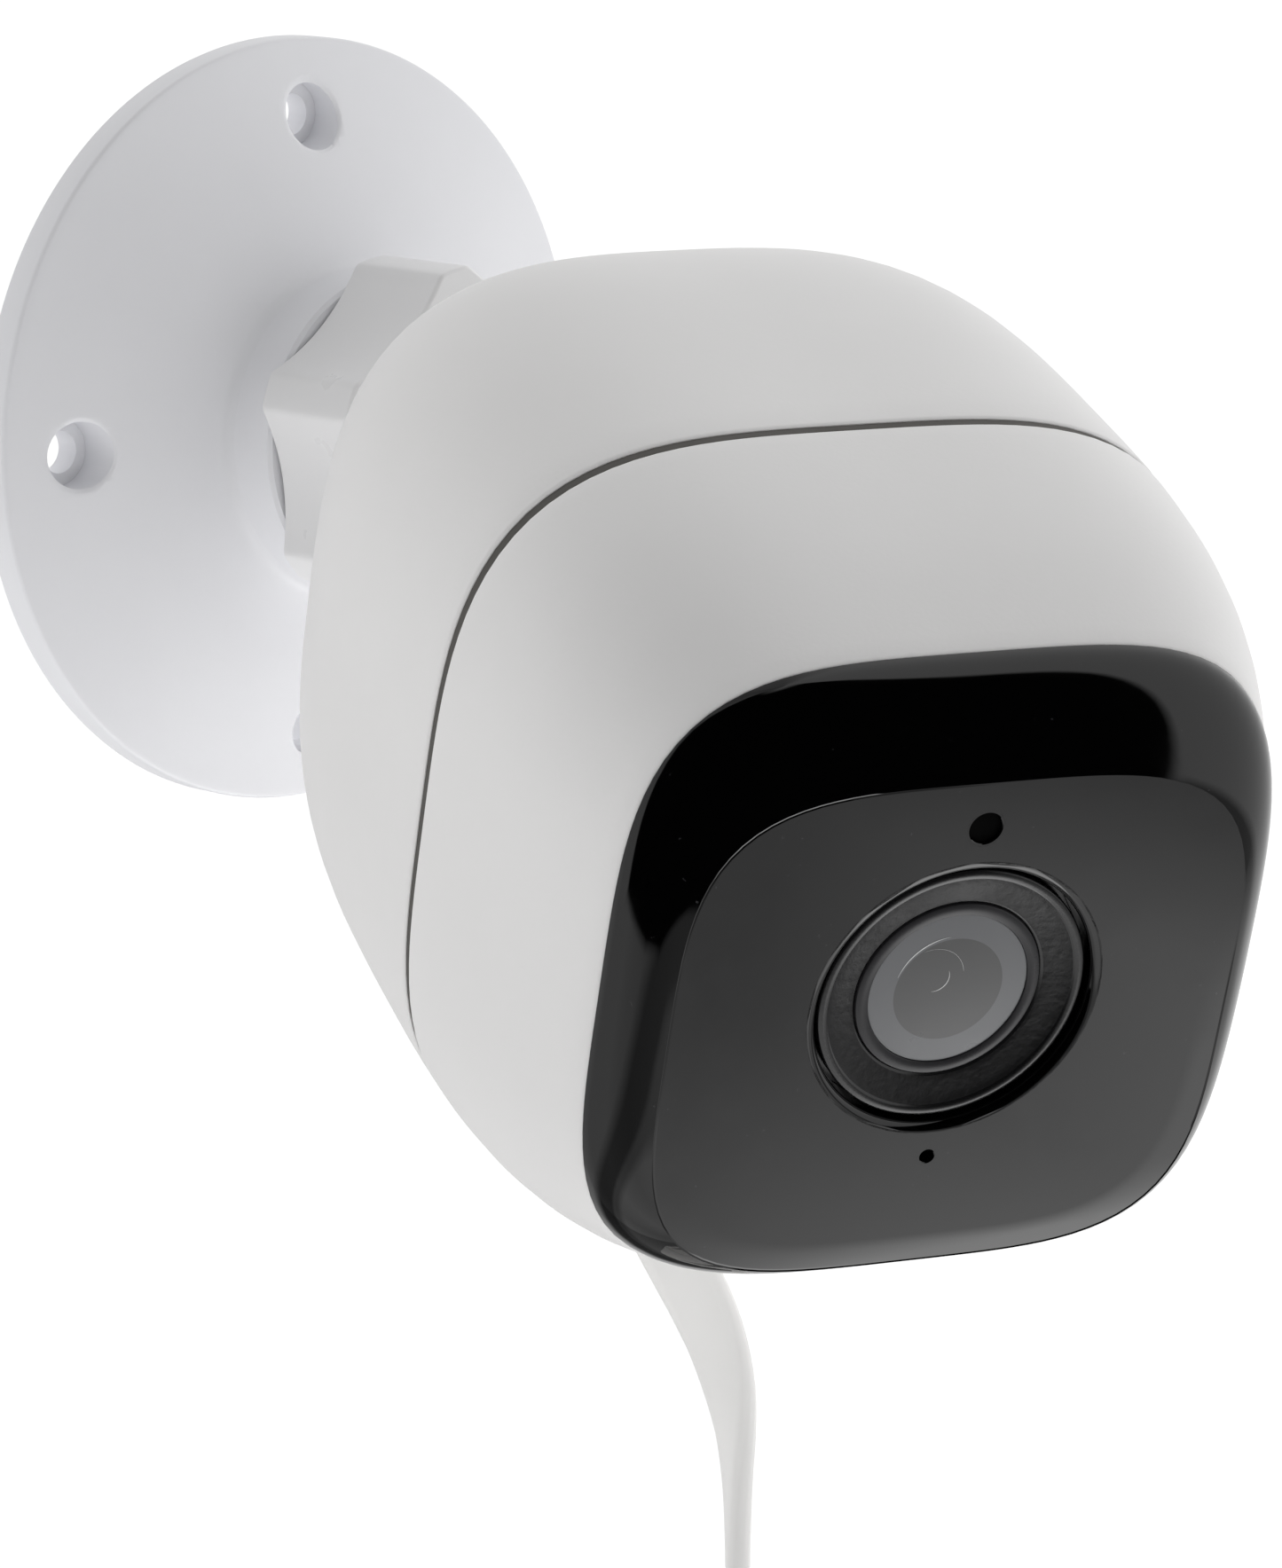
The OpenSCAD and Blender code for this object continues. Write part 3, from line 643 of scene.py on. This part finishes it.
def make_face():
    """Face in one piece: panel, rim and skirt, pierced by the lens recess and the two small holes."""
    outside = [rolled(ROLL_WIDE * i / 10) for i in range(10, 0, -1)]
    groove = [GROOVE_DEEP * max(0, -math.cos(2 * math.pi * i / RING)) for i in range(RING)]
    outside += [rolled(0.2), [(u, v, w - deep) for (u, v, w), deep in zip(rolled(0.1), groove)]]
    outside += [rim_ring(RIM_END * i / 14) for i in reversed(range(15))]
    gap, skirt = WALL + FACE_GAP, WALL + FACE_SKIRT
    outside += [body_ring(EDGE_W, gap), body_ring(EDGE_W, gap, FACE_SKIRT_W)]
    outside += [body_ring(EDGE_W, skirt, FACE_SKIRT_W), body_ring(EDGE_W, skirt)]
    under = PANEL_W - FACE_THICK
    outside += [oval(PANEL_HALF - FACE_SKIRT, PANEL_TALL - FACE_SKIRT, SECTION_PANEL, under, PANEL_V)]
    recess = [circle(RECESS_R + RECESS_ROUND + RECESS_GUARD, PANEL_W, v=LENS_V)]
    for a in range(0, 91, 15):
        t = math.radians(a)
        reach = RECESS_R + RECESS_ROUND * (1 - math.sin(t))
        recess.append(circle(reach, PANEL_W - RECESS_ROUND * (1 - math.cos(t)), v=LENS_V))
    strips = [outside, recess + [circle(RECESS_R, under, v=LENS_V)]]
    for v, r in ((SENSOR_V, SENSOR_R), (MIC_V, MIC_R)):
        wall = [(r + HOLE_GUARD, PANEL_W), (r + HOLE_ROUND, PANEL_W)]
        wall += [(r, PANEL_W - HOLE_ROUND), (r, under)]
        strips.append([circle(radius, w, v=v, count=48) for radius, w in wall])
    piece = pierced("face_cover", strips, on_camera, 25)
    weigh(piece)
    wear(piece, "face")
    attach(piece, "camera")
    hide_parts("front_cover")


def make_bezel():
    """Ring in the recess: a smooth edge, then the textured cone that falls to the lens."""
    cone_start = (9.42, 80.52)
    profile = [
        (7.15, 75.4), (9.5, 75.4), (9.5, 78.2), (12.4, 78.2), (12.4, 79.1), (BEZEL_R, 79.1),
        (BEZEL_R, 80.5), (BEZEL_R - 0.05, 80.6), (BEZEL_R - 0.15, 80.66), (9.62, 80.66), (9.5, 80.6),
        cone_start, (8.6, 80.28), (7.8, 80.06), (7.35, 79.95), (7.15, 79.8),
    ]
    piece = lathe("bezel_ring", profile, on_camera, LENS_V)
    piece.data.materials.append(looks["ring"].material)
    piece.data.materials.append(looks["cone"].material)
    first = profile.index(cone_start)
    for face in piece.data.polygons:
        ring = face.index // RING
        face.material_index = 1 if first <= ring < len(profile) - 2 else 0
    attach(piece, "camera")
    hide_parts("lens_bezel")


def make_lens():
    """Lens head with its stepped rings and the domed front glass."""
    head = [
        (4, 61), (6, 61), (6, 71.5), (HEAD_R, 71.5),
        (HEAD_R, HEAD_FRONT - 0.16), (HEAD_R - 0.05, HEAD_FRONT - 0.05), (HEAD_R - 0.16, HEAD_FRONT),
        (GLASS_R + 0.1, HEAD_FRONT), (GLASS_R + 0.04, HEAD_FRONT - 0.04),
        (GLASS_R + 0.02, HEAD_FRONT - 0.12), (GLASS_R + 0.02, 77.2), (4, 77.2),
    ]
    barrel = lathe("lens_head", head, on_camera, LENS_V)
    wear(barrel, "dim_ring")
    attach(barrel, "camera")
    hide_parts("lens_barrel")
    steps = 16
    dome = [(0.02, DOME_BASE), (GLASS_R, DOME_BASE)]
    for i in range(steps):
        share = 1 - i / steps
        dome.append((GLASS_R * share, DOME_BASE + DOME_EDGE + DOME_SAG * (1 - share ** 2)))
    dome.append((0.02, DOME_BASE + DOME_EDGE + DOME_SAG))
    glass = lathe("lens_dome", dome, on_camera, LENS_V)
    for look in ("baffle", "disc"):
        glass.data.materials.append(looks[look].material)
    for face in glass.data.polygons:
        ring = face.index // RING
        face.material_index = 1 if ring > 1 and dome[min(ring, len(dome) - 1)][0] <= BAFFLE_R else 0
    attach(glass, "camera")
    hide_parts("front_lens", "lens_baffle")


def make_painted_highlight_arcs():
    """Painted highlights: thin pale arcs just over the glass, standing in for bright reflections on the
    edges of the inner lens elements.
    """
    steps = 24
    # Radius, first and last degree, thickness, and the arc's centre across and up from the lens's
    arcs = (
        (4.15, 95, 165, 0.04, -0.1, 0.25),
        (1.15, -95, 25, 0.03, -1.25, 1.1),
        (2.5, -70, 110, 0.006, -1.5, 1.0),
    )
    for index, (radius, start, end, thick, u, v) in enumerate(arcs):
        rings = []
        for i in range(steps + 1):
            t = math.radians(start + (end - start) * i / steps)
            taper = thick * math.sin(math.pi * (i + 0.3) / (steps + 0.6)) + 0.003
            lift = PAINTED_ARC_W + DOME_SAG * (1 - (radius / GLASS_R) ** 2)
            ring = []
            for k in range(6):
                a = math.pi * k / 3
                r = radius + taper * math.cos(a)
                w = lift + taper * math.sin(a) * 0.5
                ring.append((r * math.cos(t) + u, LENS_V + v + r * math.sin(t), w))
            rings.append(ring)
        piece = skin(f"painted_lens_arc_{index}", rings, on_camera, closed=False, ends=True)
        wear(piece, "painted_highlight")
        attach(piece, "camera")


# ---- wall side ----
def make_plate():
    """Round plate that sweeps up into the neck in one soft curve."""
    sweep = [
        (31.9, 2.8), (31.6, 3.0), (30, 3.55), (HOLE_PCR, HOLE_HEIGHT), (21.5, 6.35), (18, 7.35),
        (15.9, 8.05), (14.6, 8.6), (13.9, 9.0), (13.5, 9.6), (NECK_R, 10.4), (NECK_R, NECK_END - 0.3),
    ]
    smooth = []
    for i in range(len(sweep) - 1):
        a, b, c, d = (Vector(sweep[max(0, min(len(sweep) - 1, i + k))]) for k in (-1, 0, 1, 2))
        for k in range(5):
            smooth.append(tuple(spline(a, b, c, d, k / 5)))
    profile = [(3.55, 4.4), (10, 4.4), (10, 0), (13, 0), (13, 0.8), (19, 0.8), (19, 0)]
    profile += [(PLATE_R - 0.4, 0), (PLATE_R - 0.1, 0.1), (PLATE_R, 0.4), (PLATE_R, PLATE_RIM - 0.45)]
    profile += smooth + [(NECK_R, NECK_END - 0.3), (NECK_R - 0.3, NECK_END), (8, NECK_END), (8, 22)]
    profile += [(6, 22), (6, 16), (3.55, 16)]
    piece = lathe("plate_shell", profile, from_wall, count=192)
    drop = [(HOLE_R, -1), (HOLE_R, 2.2), (CBORE_R - 0.25, 2.2), (CBORE_R - 0.25, 7)]
    mouth = [(-0.35, -0.4), (-0.2, -0.22), (0.1, -0.07), (0.5, 0.01), (1, 0.3)]
    cutters = []
    for turn in range(4):
        a = math.pi * turn / 2
        c, s = math.cos(a), math.sin(a)
        cutters.append(drill(drop, from_wall, HOLE_PCR * c, HOLE_PCR * s))

        def on_slope(x, y, z):
            """A point given from this hole's mouth, square to the plate's slope."""
            out = HOLE_PCR + x * math.cos(PLATE_SLOPE) + z * math.sin(PLATE_SLOPE)
            rise = HOLE_HEIGHT - x * math.sin(PLATE_SLOPE) + z * math.cos(PLATE_SLOPE)
            return from_wall(out * c - y * s, out * s + y * c, rise)

        cutters.append(drill([(CBORE_R + grow, z) for grow, z in mouth], on_slope))
    cut(piece, cutters)
    weigh(piece)
    wear(piece, "bracket")
    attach(piece, "bracket")
    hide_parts("wall_plate")


def spline(a, b, c, d, t):
    """Point at share t of the way from b to c on a smooth curve through a, b, c and d."""
    square = 2 * a - 5 * b + 4 * c - d
    cube = 3 * b - a - 3 * c + d
    return 0.5 * (2 * b + (c - a) * t + square * t * t + cube * t ** 3)


def knob_radius(angle, inset):
    """Radius of the lobed knob at an angle in degrees, with its outline moved inwards."""
    off = math.radians((angle - KNOB_FIRST_FLUTE + 30) % 60 - 30)
    centre = KNOB_VALLEY_R + KNOB_FLUTE_R
    reach = KNOB_FLUTE_R + inset
    under = reach ** 2 - (centre * math.sin(off)) ** 2
    tip = KNOB_TIP_R - inset
    if under <= 0:
        return tip
    flute = centre * math.cos(off) - math.sqrt(under)
    return (tip ** -KNOB_CRISP + flute ** -KNOB_CRISP) ** (-1 / KNOB_CRISP)


def make_knob():
    """Lobed knob with rounded edges, open at both ends for the neck and the stem."""
    count = 360

    def outline(w, inset):
        points = []
        for i in range(count):
            a = 360 * i / count
            r = knob_radius(a, inset)
            points.append((r * math.cos(math.radians(a)), r * math.sin(math.radians(a)), w))
        return points

    edge = 0.35
    fillet = []
    for a in (0, 30, 60, 90):
        t = math.radians(a)
        fillet.append((edge * (1 - math.sin(t)), edge * (1 - math.cos(t))))
    bore = [
        (9.9, KNOB_FRONT), (9.4, KNOB_FRONT - 0.12), (8.4, KNOB_FRONT - 0.6), (5.2, KNOB_FRONT - 0.6),
        (4.9, KNOB_FRONT - 0.85), (6.6, 22.6), (9.05, 22.6),
    ]
    rings = [circle(9.05, KNOB_BACK, count=count)]
    rings += [outline(KNOB_BACK + rise, inset) for rise, inset in reversed(fillet)]
    rings += [outline(KNOB_FRONT - rise, inset) for rise, inset in fillet]
    rings += [circle(r, w, count=count) for r, w in bore]
    piece = skin("knob_lobed", rings, from_wall, sharp=32)
    weigh(piece)
    wear(piece, "knob")
    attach(piece, "knob")
    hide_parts("lock_knob")


# ---- power lead ----
# Points of the lead's centreline with the heading of its width, as in the CAD source
ROUTE = [
    (-2.8, -40.7, -35.6, -23), (-2.3, -39.6, -39, -23), (-1.9, -39.4, -43, -24), (-1.5, -40.1, -48, -26),
    (-0.8, -41.6, -54, -31), (0.6, -43.5, -60, -38), (2.6, -45, -65, -45), (4.9, -45.9, -70, -58),
    (6.8, -46.2, -75, -82), (7.9, -46.2, -80, -108), (8.4, -46.1, -85, -126), (8.6, -46, -91, -134),
    (8.6, -46, -97.3, -135), (8.3, -45.7, -101.5, -135), (7.4, -44.8, -105.6, -135),
    (6, -43.4, -109.4, -135), (4.1, -41.5, -112.7, -135), (0.8, -38.2, -117.3, -135),
    (-3.4, -34, -123.3, -135), (-7.9, -29.5, -129.7, -135),
]
TAIL = [(-32.2, -40.2, -165, -135), (-32.2, -40.2, -180, -135), (-32.2, -40.2, -194, -135)]
COIL_HEADING = -135


def lead_line():
    """Points of the whole lead, each with its width's heading: down, round the coil's turns, and down."""
    points = []
    last = len(ROUTE) - 1
    for i in range(last):
        near = [Vector(ROUTE[max(0, min(last, i + k))]) for k in (-1, 0, 1, 2)]
        for k in range(4):
            p = spline(*near, k / 4)
            points.append((p.to_3d() * MM, p[3]))
    sweep = 360 * COIL_TURNS + COIL_EXIT - COIL_START
    steps = 48 * COIL_TURNS
    for i in range(steps + 1):
        t = i / steps
        a = math.radians(COIL_START + sweep * t)
        deep = COIL_PITCH * sweep / 360 * t
        points.append((on_coil(COIL_R * math.cos(a), COIL_R * math.sin(a), deep), COIL_HEADING))
    points += [(mm(*p[:3]), p[3]) for p in TAIL]
    return points


def flat_section(wide, thick):
    """Outline of a flat lead: straight faces and round edges, as offsets across and through it."""
    r = thick / 2
    round_steps = 5
    points = []
    for side in (1, -1):
        for i in range(round_steps + 1):
            a = math.pi * (i / round_steps - 0.5)
            points.append((side * (wide / 2 - r + r * math.cos(a)), side * r * math.sin(a)))
    return points


def along(points, i):
    """Direction of the lead at one of its points."""
    a, b = points[max(0, i - 1)][0], points[min(len(points) - 1, i + 1)][0]
    return (b - a).normalized()


def sweep_section(name, points, section_at):
    """Tube through points, with a section that may change along the way."""
    rings = []
    for i, (p, heading) in enumerate(points):
        way = along(points, i)
        h = Vector((math.cos(math.radians(heading)), math.sin(math.radians(heading)), 0))
        wide = (h - way * h.dot(way)).normalized()
        thick = way.cross(wide)
        rings.append([p + (wide * x + thick * y) * MM for x, y in section_at(i)])
    return skin(name, rings, lambda *p: Vector(p), closed=False, ends=True, sharp=40)


def make_lead():
    points = lead_line()
    section = flat_section(LEAD_W, LEAD_T)
    lead = sweep_section("power_lead", points, lambda i: section)
    wear(lead, "lead")
    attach(lead, "camera")
    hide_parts("power_cord", "cord_coil", "cord_tail")
    sleeve_points = points[2:20]
    count = len(sleeve_points)

    def sleeve_section(i):
        t = i / (count - 1)
        ridge = 0.12 if i % 4 < 2 and 0.1 < t < 0.95 else 0
        return flat_section(LEAD_W + 2.2 - 1.6 * t + ridge, LEAD_T + 2.0 - 1.5 * t + ridge)

    sleeve = sweep_section("lead_sleeve", sleeve_points, sleeve_section)
    wear(sleeve, "lead")
    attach(sleeve, "camera")
    strap_piece = make_strap()
    grip = make_grip()


def make_strap():
    """Woven strap that closes round the turns at the top of the coil."""
    deep = COIL_PITCH * (COIL_TURNS + (COIL_EXIT - COIL_START) / 360) + LEAD_W
    low, high = COIL_R - LEAD_T / 2 - 0.5, COIL_R + LEAD_T / 2 + 0.5
    back, front = -LEAD_W / 2, deep - LEAD_W / 2

    def loop_round(grow, radius):
        a, b, c, d = low - grow, high + grow, back - grow, front + grow
        return rounded([(a, c), (b, c), (b, d), (a, d)], radius)

    inner = loop_round(0, 0.8)
    outer = loop_round(STRAP_T, 1.4)
    rings = []
    half = STRAP_W / 2
    for x, loop in ((-half, inner), (-half, outer), (half, outer), (half, inner)):
        rings.append([(x, y, z) for y, z in loop])
    piece = skin("coil_strap", rings, on_coil)
    wear(piece, "strap")
    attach(piece, "camera")
    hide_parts("coil_tie")
    return piece


def make_grip():
    """Moulded grip of the plug, with a neck that tapers onto the lead."""
    x, y, top = TAIL[-1][:3]
    # Height, width, depth and corner radius
    stations = [
        (-24, 15.0, 7.4, 2.2), (-23.6, 15.6, 8, 2.4), (-19, 15.6, 8, 2.4), (-18.6, 15.2, 7.6, 2.4),
        (-17.6, 15.2, 7.6, 2.4), (-17.2, 15.6, 8, 2.4), (-14.6, 15.6, 8, 2.4), (-14.2, 15.2, 7.6, 2.4),
        (-13.2, 15.2, 7.6, 2.4), (-12.8, 15.6, 8, 2.4), (-8.2, 15.4, 7.8, 2.6), (-6.8, 13.4, 6.6, 2.6),
        (-6, 9.6, 5.2, 2), (-5, 9, 5, 1.8), (-1, 8, 4.4, 1.6), (0, 7, 3.6, 1.4),
    ]
    c, s = math.cos(math.radians(45)), math.sin(math.radians(45))
    rings = []
    for z, wide, deep, r in stations:
        a, b = wide / 2 - r, deep / 2 - r
        ring = []
        for corner, (sx, sy) in enumerate(((1, 1), (-1, 1), (-1, -1), (1, -1))):
            for k in range(7):
                t = math.pi / 2 * (corner + k / 6)
                ring.append((sx * a + r * math.cos(t), sy * b + r * math.sin(t), z))
        rings.append([(x + p * c - q * s, y + p * s + q * c, top + z) for p, q, z in ring])
    piece = skin("plug_grip", rings, mm, closed=False, ends=True)
    wear(piece, "lead")
    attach(piece, "camera")
    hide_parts("plug_body")
    return piece


make_lead()
make_plate()
make_knob()
make_rear_housing()
make_front_housing()
make_seam()
make_face()
make_bezel()
make_lens()
make_painted_highlight_arcs()

# ---- finishes of the CAD nodes that stay ----
finishes = {
    "seal": ["mount_pad", "mic_boot"],
    "inner": [
        "collet_ring", "lens_holder", "filter_frame", "chassis", "gland_nut", "power_wires",
        "plug_tongue",
    ],
    "brass": [
        "knob_insert", "filter_motor", "standoffs", "wifi_antenna", "microphone", "flex_cable",
        "plug_contacts",
    ],
    "ball": ["ball_stud"],
    "steel": [
        "stud_washer", "stud_nut", "retainer_screws", "housing_screws", "board_screws", "front_screws",
        "plug_shell",
    ],
    "pale": ["friction_liner", "ball_seat", "filter_slider"],
    "housing": ["ball_retainer"],
    "plug": ["screw_plugs", "reset_button"],
    "glass": ["rear_lens", "filter_glass", "ir_leds"],
    # The light guide wears painted shade, so the sensor hole reads dark
    "hole": ["light_guide"],
    "board": ["sensor_board", "ir_board", "main_board"],
    "chip": ["image_sensor", "light_sensor", "processor", "reset_switch"],
    "sink": ["heat_sink"],
    "lead": ["cable_gland"],
}
for look, nodes in finishes.items():
    for node in nodes:
        wear(frame["nodes"][node], look)


# ---- floor and light ----
FLOOR_HALF = 30
FLOOR_DROP = 0.004
FLOOR_GLOW = 0.42
BRIGHT_SIDE = (0.69, 0.58, -0.43)
TENT_DIM = 0.12
TENT_BRIGHT = 2.06
BACKDROP_R = 12
BACKDROP_GLOW = 0.6

# The gloss tent is laid out by two angles in degrees: turn goes round from the wall's front towards the
# right, and lift goes up from the horizon. Each row is an angle, its two factors, and where they hold.
TENT_R = 8
FLOOR_RIGHT = 2.65
FLAG_FROM = -148
FLAG_TO = 12.5
FLAG_LOW = -38
FLAG_REAR_LOW = -16
FLAG_SIDE_LOW = -32
FLAG_SOFT = 0.8
FLAG_LIMITS = (
    ("lift", 1, 0, 80, 88),
    ("turn", 0, 1, FLAG_FROM - 3, FLAG_FROM),
    ("turn", 1, 0, FLAG_TO, FLAG_TO + 2.5),
)
STRIP_LIMITS = (
    ("lift", 0, 0.7, -36, -33),
    ("lift", 1, 0, -25, -22),
    ("turn", 0, 1, FLAG_TO, FLAG_TO + 4),
    ("turn", 1, 0, 60, 100),
)
FLOOR_FALL = (
    ("turn", 0.95, FLOOR_RIGHT, 11.5, 20),
    ("lift", 1, 0.45, -46.8, -45.2),
    ("turn", 1, 0.15, 40, 120),
)
ALL_ROUND = (
    ("turn", 0.65, 1, -110, -60),
    ("turn", 0.6, 1, -165, -140),
    ("turn", 1, 0.5, 110, 145),
)


def make_floor():
    """Pale floor just under the plug, bright as a lit studio table."""
    z = cad_low.z - FLOOR_DROP
    corners = [(x * FLOOR_HALF, y * FLOOR_HALF, z) for x, y in ((-1, -1), (1, -1), (1, 1), (-1, 1))]
    floor = new_object("floor", corners, [(0, 1, 2, 3)], smooth=False)
    paint = Paint("floor_pale", (0.8, 0.8, 0.8), 0.9)
    paint.set("Emission Color", (1, 1, 1, 1))
    paint.set("Emission Strength", FLOOR_GLOW)
    paint.tint(paint.span(paint.noise(3, 2), 0, 1), (0.78, 0.78, 0.78))
    floor.data.materials.append(paint.material)
    floor.visible_glossy = False


def make_sky():
    """Soft tent of light: dim towards the front left and above, bright behind and to the right."""
    world = bpy.data.worlds.new("tent")
    bpy.context.scene.world = world
    world.use_nodes = True
    nodes, links = world.node_tree.nodes, world.node_tree.links
    way = nodes.new("ShaderNodeTexCoord").outputs["Generated"]
    lean = nodes.new("ShaderNodeVectorMath")
    lean.operation = "DOT_PRODUCT"
    lean.inputs[1].default_value = BRIGHT_SIDE
    links.new(way, lean.inputs[0])
    level = nodes.new("ShaderNodeMapRange")
    limits = {"From Min": -1, "From Max": 1, "To Min": TENT_DIM, "To Max": TENT_BRIGHT}
    for socket, number in limits.items():
        level.inputs[socket].default_value = number
    links.new(lean.outputs["Value"], level.inputs["Value"])
    links.new(level.outputs["Result"], nodes["Background"].inputs["Strength"])
    nodes["Background"].inputs["Color"].default_value = (1, 1, 1, 1)


def make_dome(name, radius, seen_by, paint):
    """Sphere round the object that only one kind of ray sees."""
    bm = bmesh.new()
    bmesh.ops.create_uvsphere(bm, u_segments=64, v_segments=32, radius=radius)
    mesh = bpy.data.meshes.new(name)
    bm.to_mesh(mesh)
    bm.free()
    mesh.shade_smooth()
    dome = bpy.data.objects.new(name, mesh)
    bpy.context.scene.collection.objects.link(dome)
    dome.location = PIVOT
    paint.material.cycles.emission_sampling = "NONE"
    mesh.materials.append(paint.material)
    for ray in ("camera", "glossy", "diffuse", "shadow", "transmission"):
        setattr(dome, "visible_" + ray, ray == seen_by)


def make_backdrop():
    """Pale grey backdrop far behind the object, which only camera rays see."""
    paint = Paint("backdrop_pale", (0, 0, 0), 0.95)
    paint.set("Specular IOR Level", 0)
    paint.set("Emission Color", (1, 1, 1, 1))
    paint.set("Emission Strength", BACKDROP_GLOW)
    make_dome("backdrop", BACKDROP_R, "camera", paint)


def make_gloss_tent():
    """Dome that only the gloss sees: a black flag in front, on the left and above, and a graded floor."""
    paint = Paint("gloss_tent", (0, 0, 0), 0.95)
    paint.set("Specular IOR Level", 0)
    paint.set("Emission Color", (1, 1, 1, 1))

    def math_node(kind, a, b=0.0):
        node = paint.nodes.new("ShaderNodeMath")
        node.operation = kind
        for socket, value in zip(node.inputs, (a, b)):
            if isinstance(value, (int, float)):
                socket.default_value = value
            else:
                paint.links.new(value, socket)
        return node.outputs[0]

    def product(*values):
        total = values[0]
        for value in values[1:]:
            total = math_node("MULTIPLY", total, value)
        return total

    way = paint.nodes.new("ShaderNodeVectorMath")
    way.operation = "NORMALIZE"
    paint.links.new(paint.place, way.inputs[0])
    parts = paint.nodes.new("ShaderNodeSeparateXYZ")
    paint.links.new(way.outputs[0], parts.inputs[0])
    x, y, z = parts.outputs
    turn = product(math_node("ARCTAN2", x, product(y, -1)), math.degrees(1))
    lift = product(math_node("ARCSINE", z), math.degrees(1))
    angles = {"turn": turn, "lift": lift}

    def within(rows):
        return product(*(paint.span(angles[angle], *limits) for angle, *limits in rows))

    def without(value):
        return math_node("SUBTRACT", 1, value)

    rear_edge = paint.span(turn, FLAG_REAR_LOW, FLAG_SIDE_LOW, FLAG_FROM, -110)
    edge = math_node("ADD", rear_edge, paint.span(turn, 0, FLAG_LOW - FLAG_SIDE_LOW, -110, -90))
    over = math_node("SUBTRACT", lift, edge)
    flag = product(paint.span(over, 0, 1, -FLAG_SOFT, FLAG_SOFT), within(FLAG_LIMITS))
    near = paint.span(lift, 0.65, 0, -52, -48.8)
    floor = product(math_node("ADD", near, paint.span(lift, 0.85, 0.75, -90, -70)), within(FLOOR_FALL))
    below = paint.span(lift, 1, 0, -38, -33)
    level = math_node("ADD", product(floor, below), without(below))
    level = product(level, without(flag), without(within(STRIP_LIMITS)), within(ALL_ROUND))
    paint.links.new(level, paint.shader.inputs["Emission Strength"])
    make_dome("gloss_tent", TENT_R, "glossy", paint)


make_floor()
make_sky()
make_backdrop()
make_gloss_tent()
bpy.context.scene.view_settings.view_transform = "Standard"
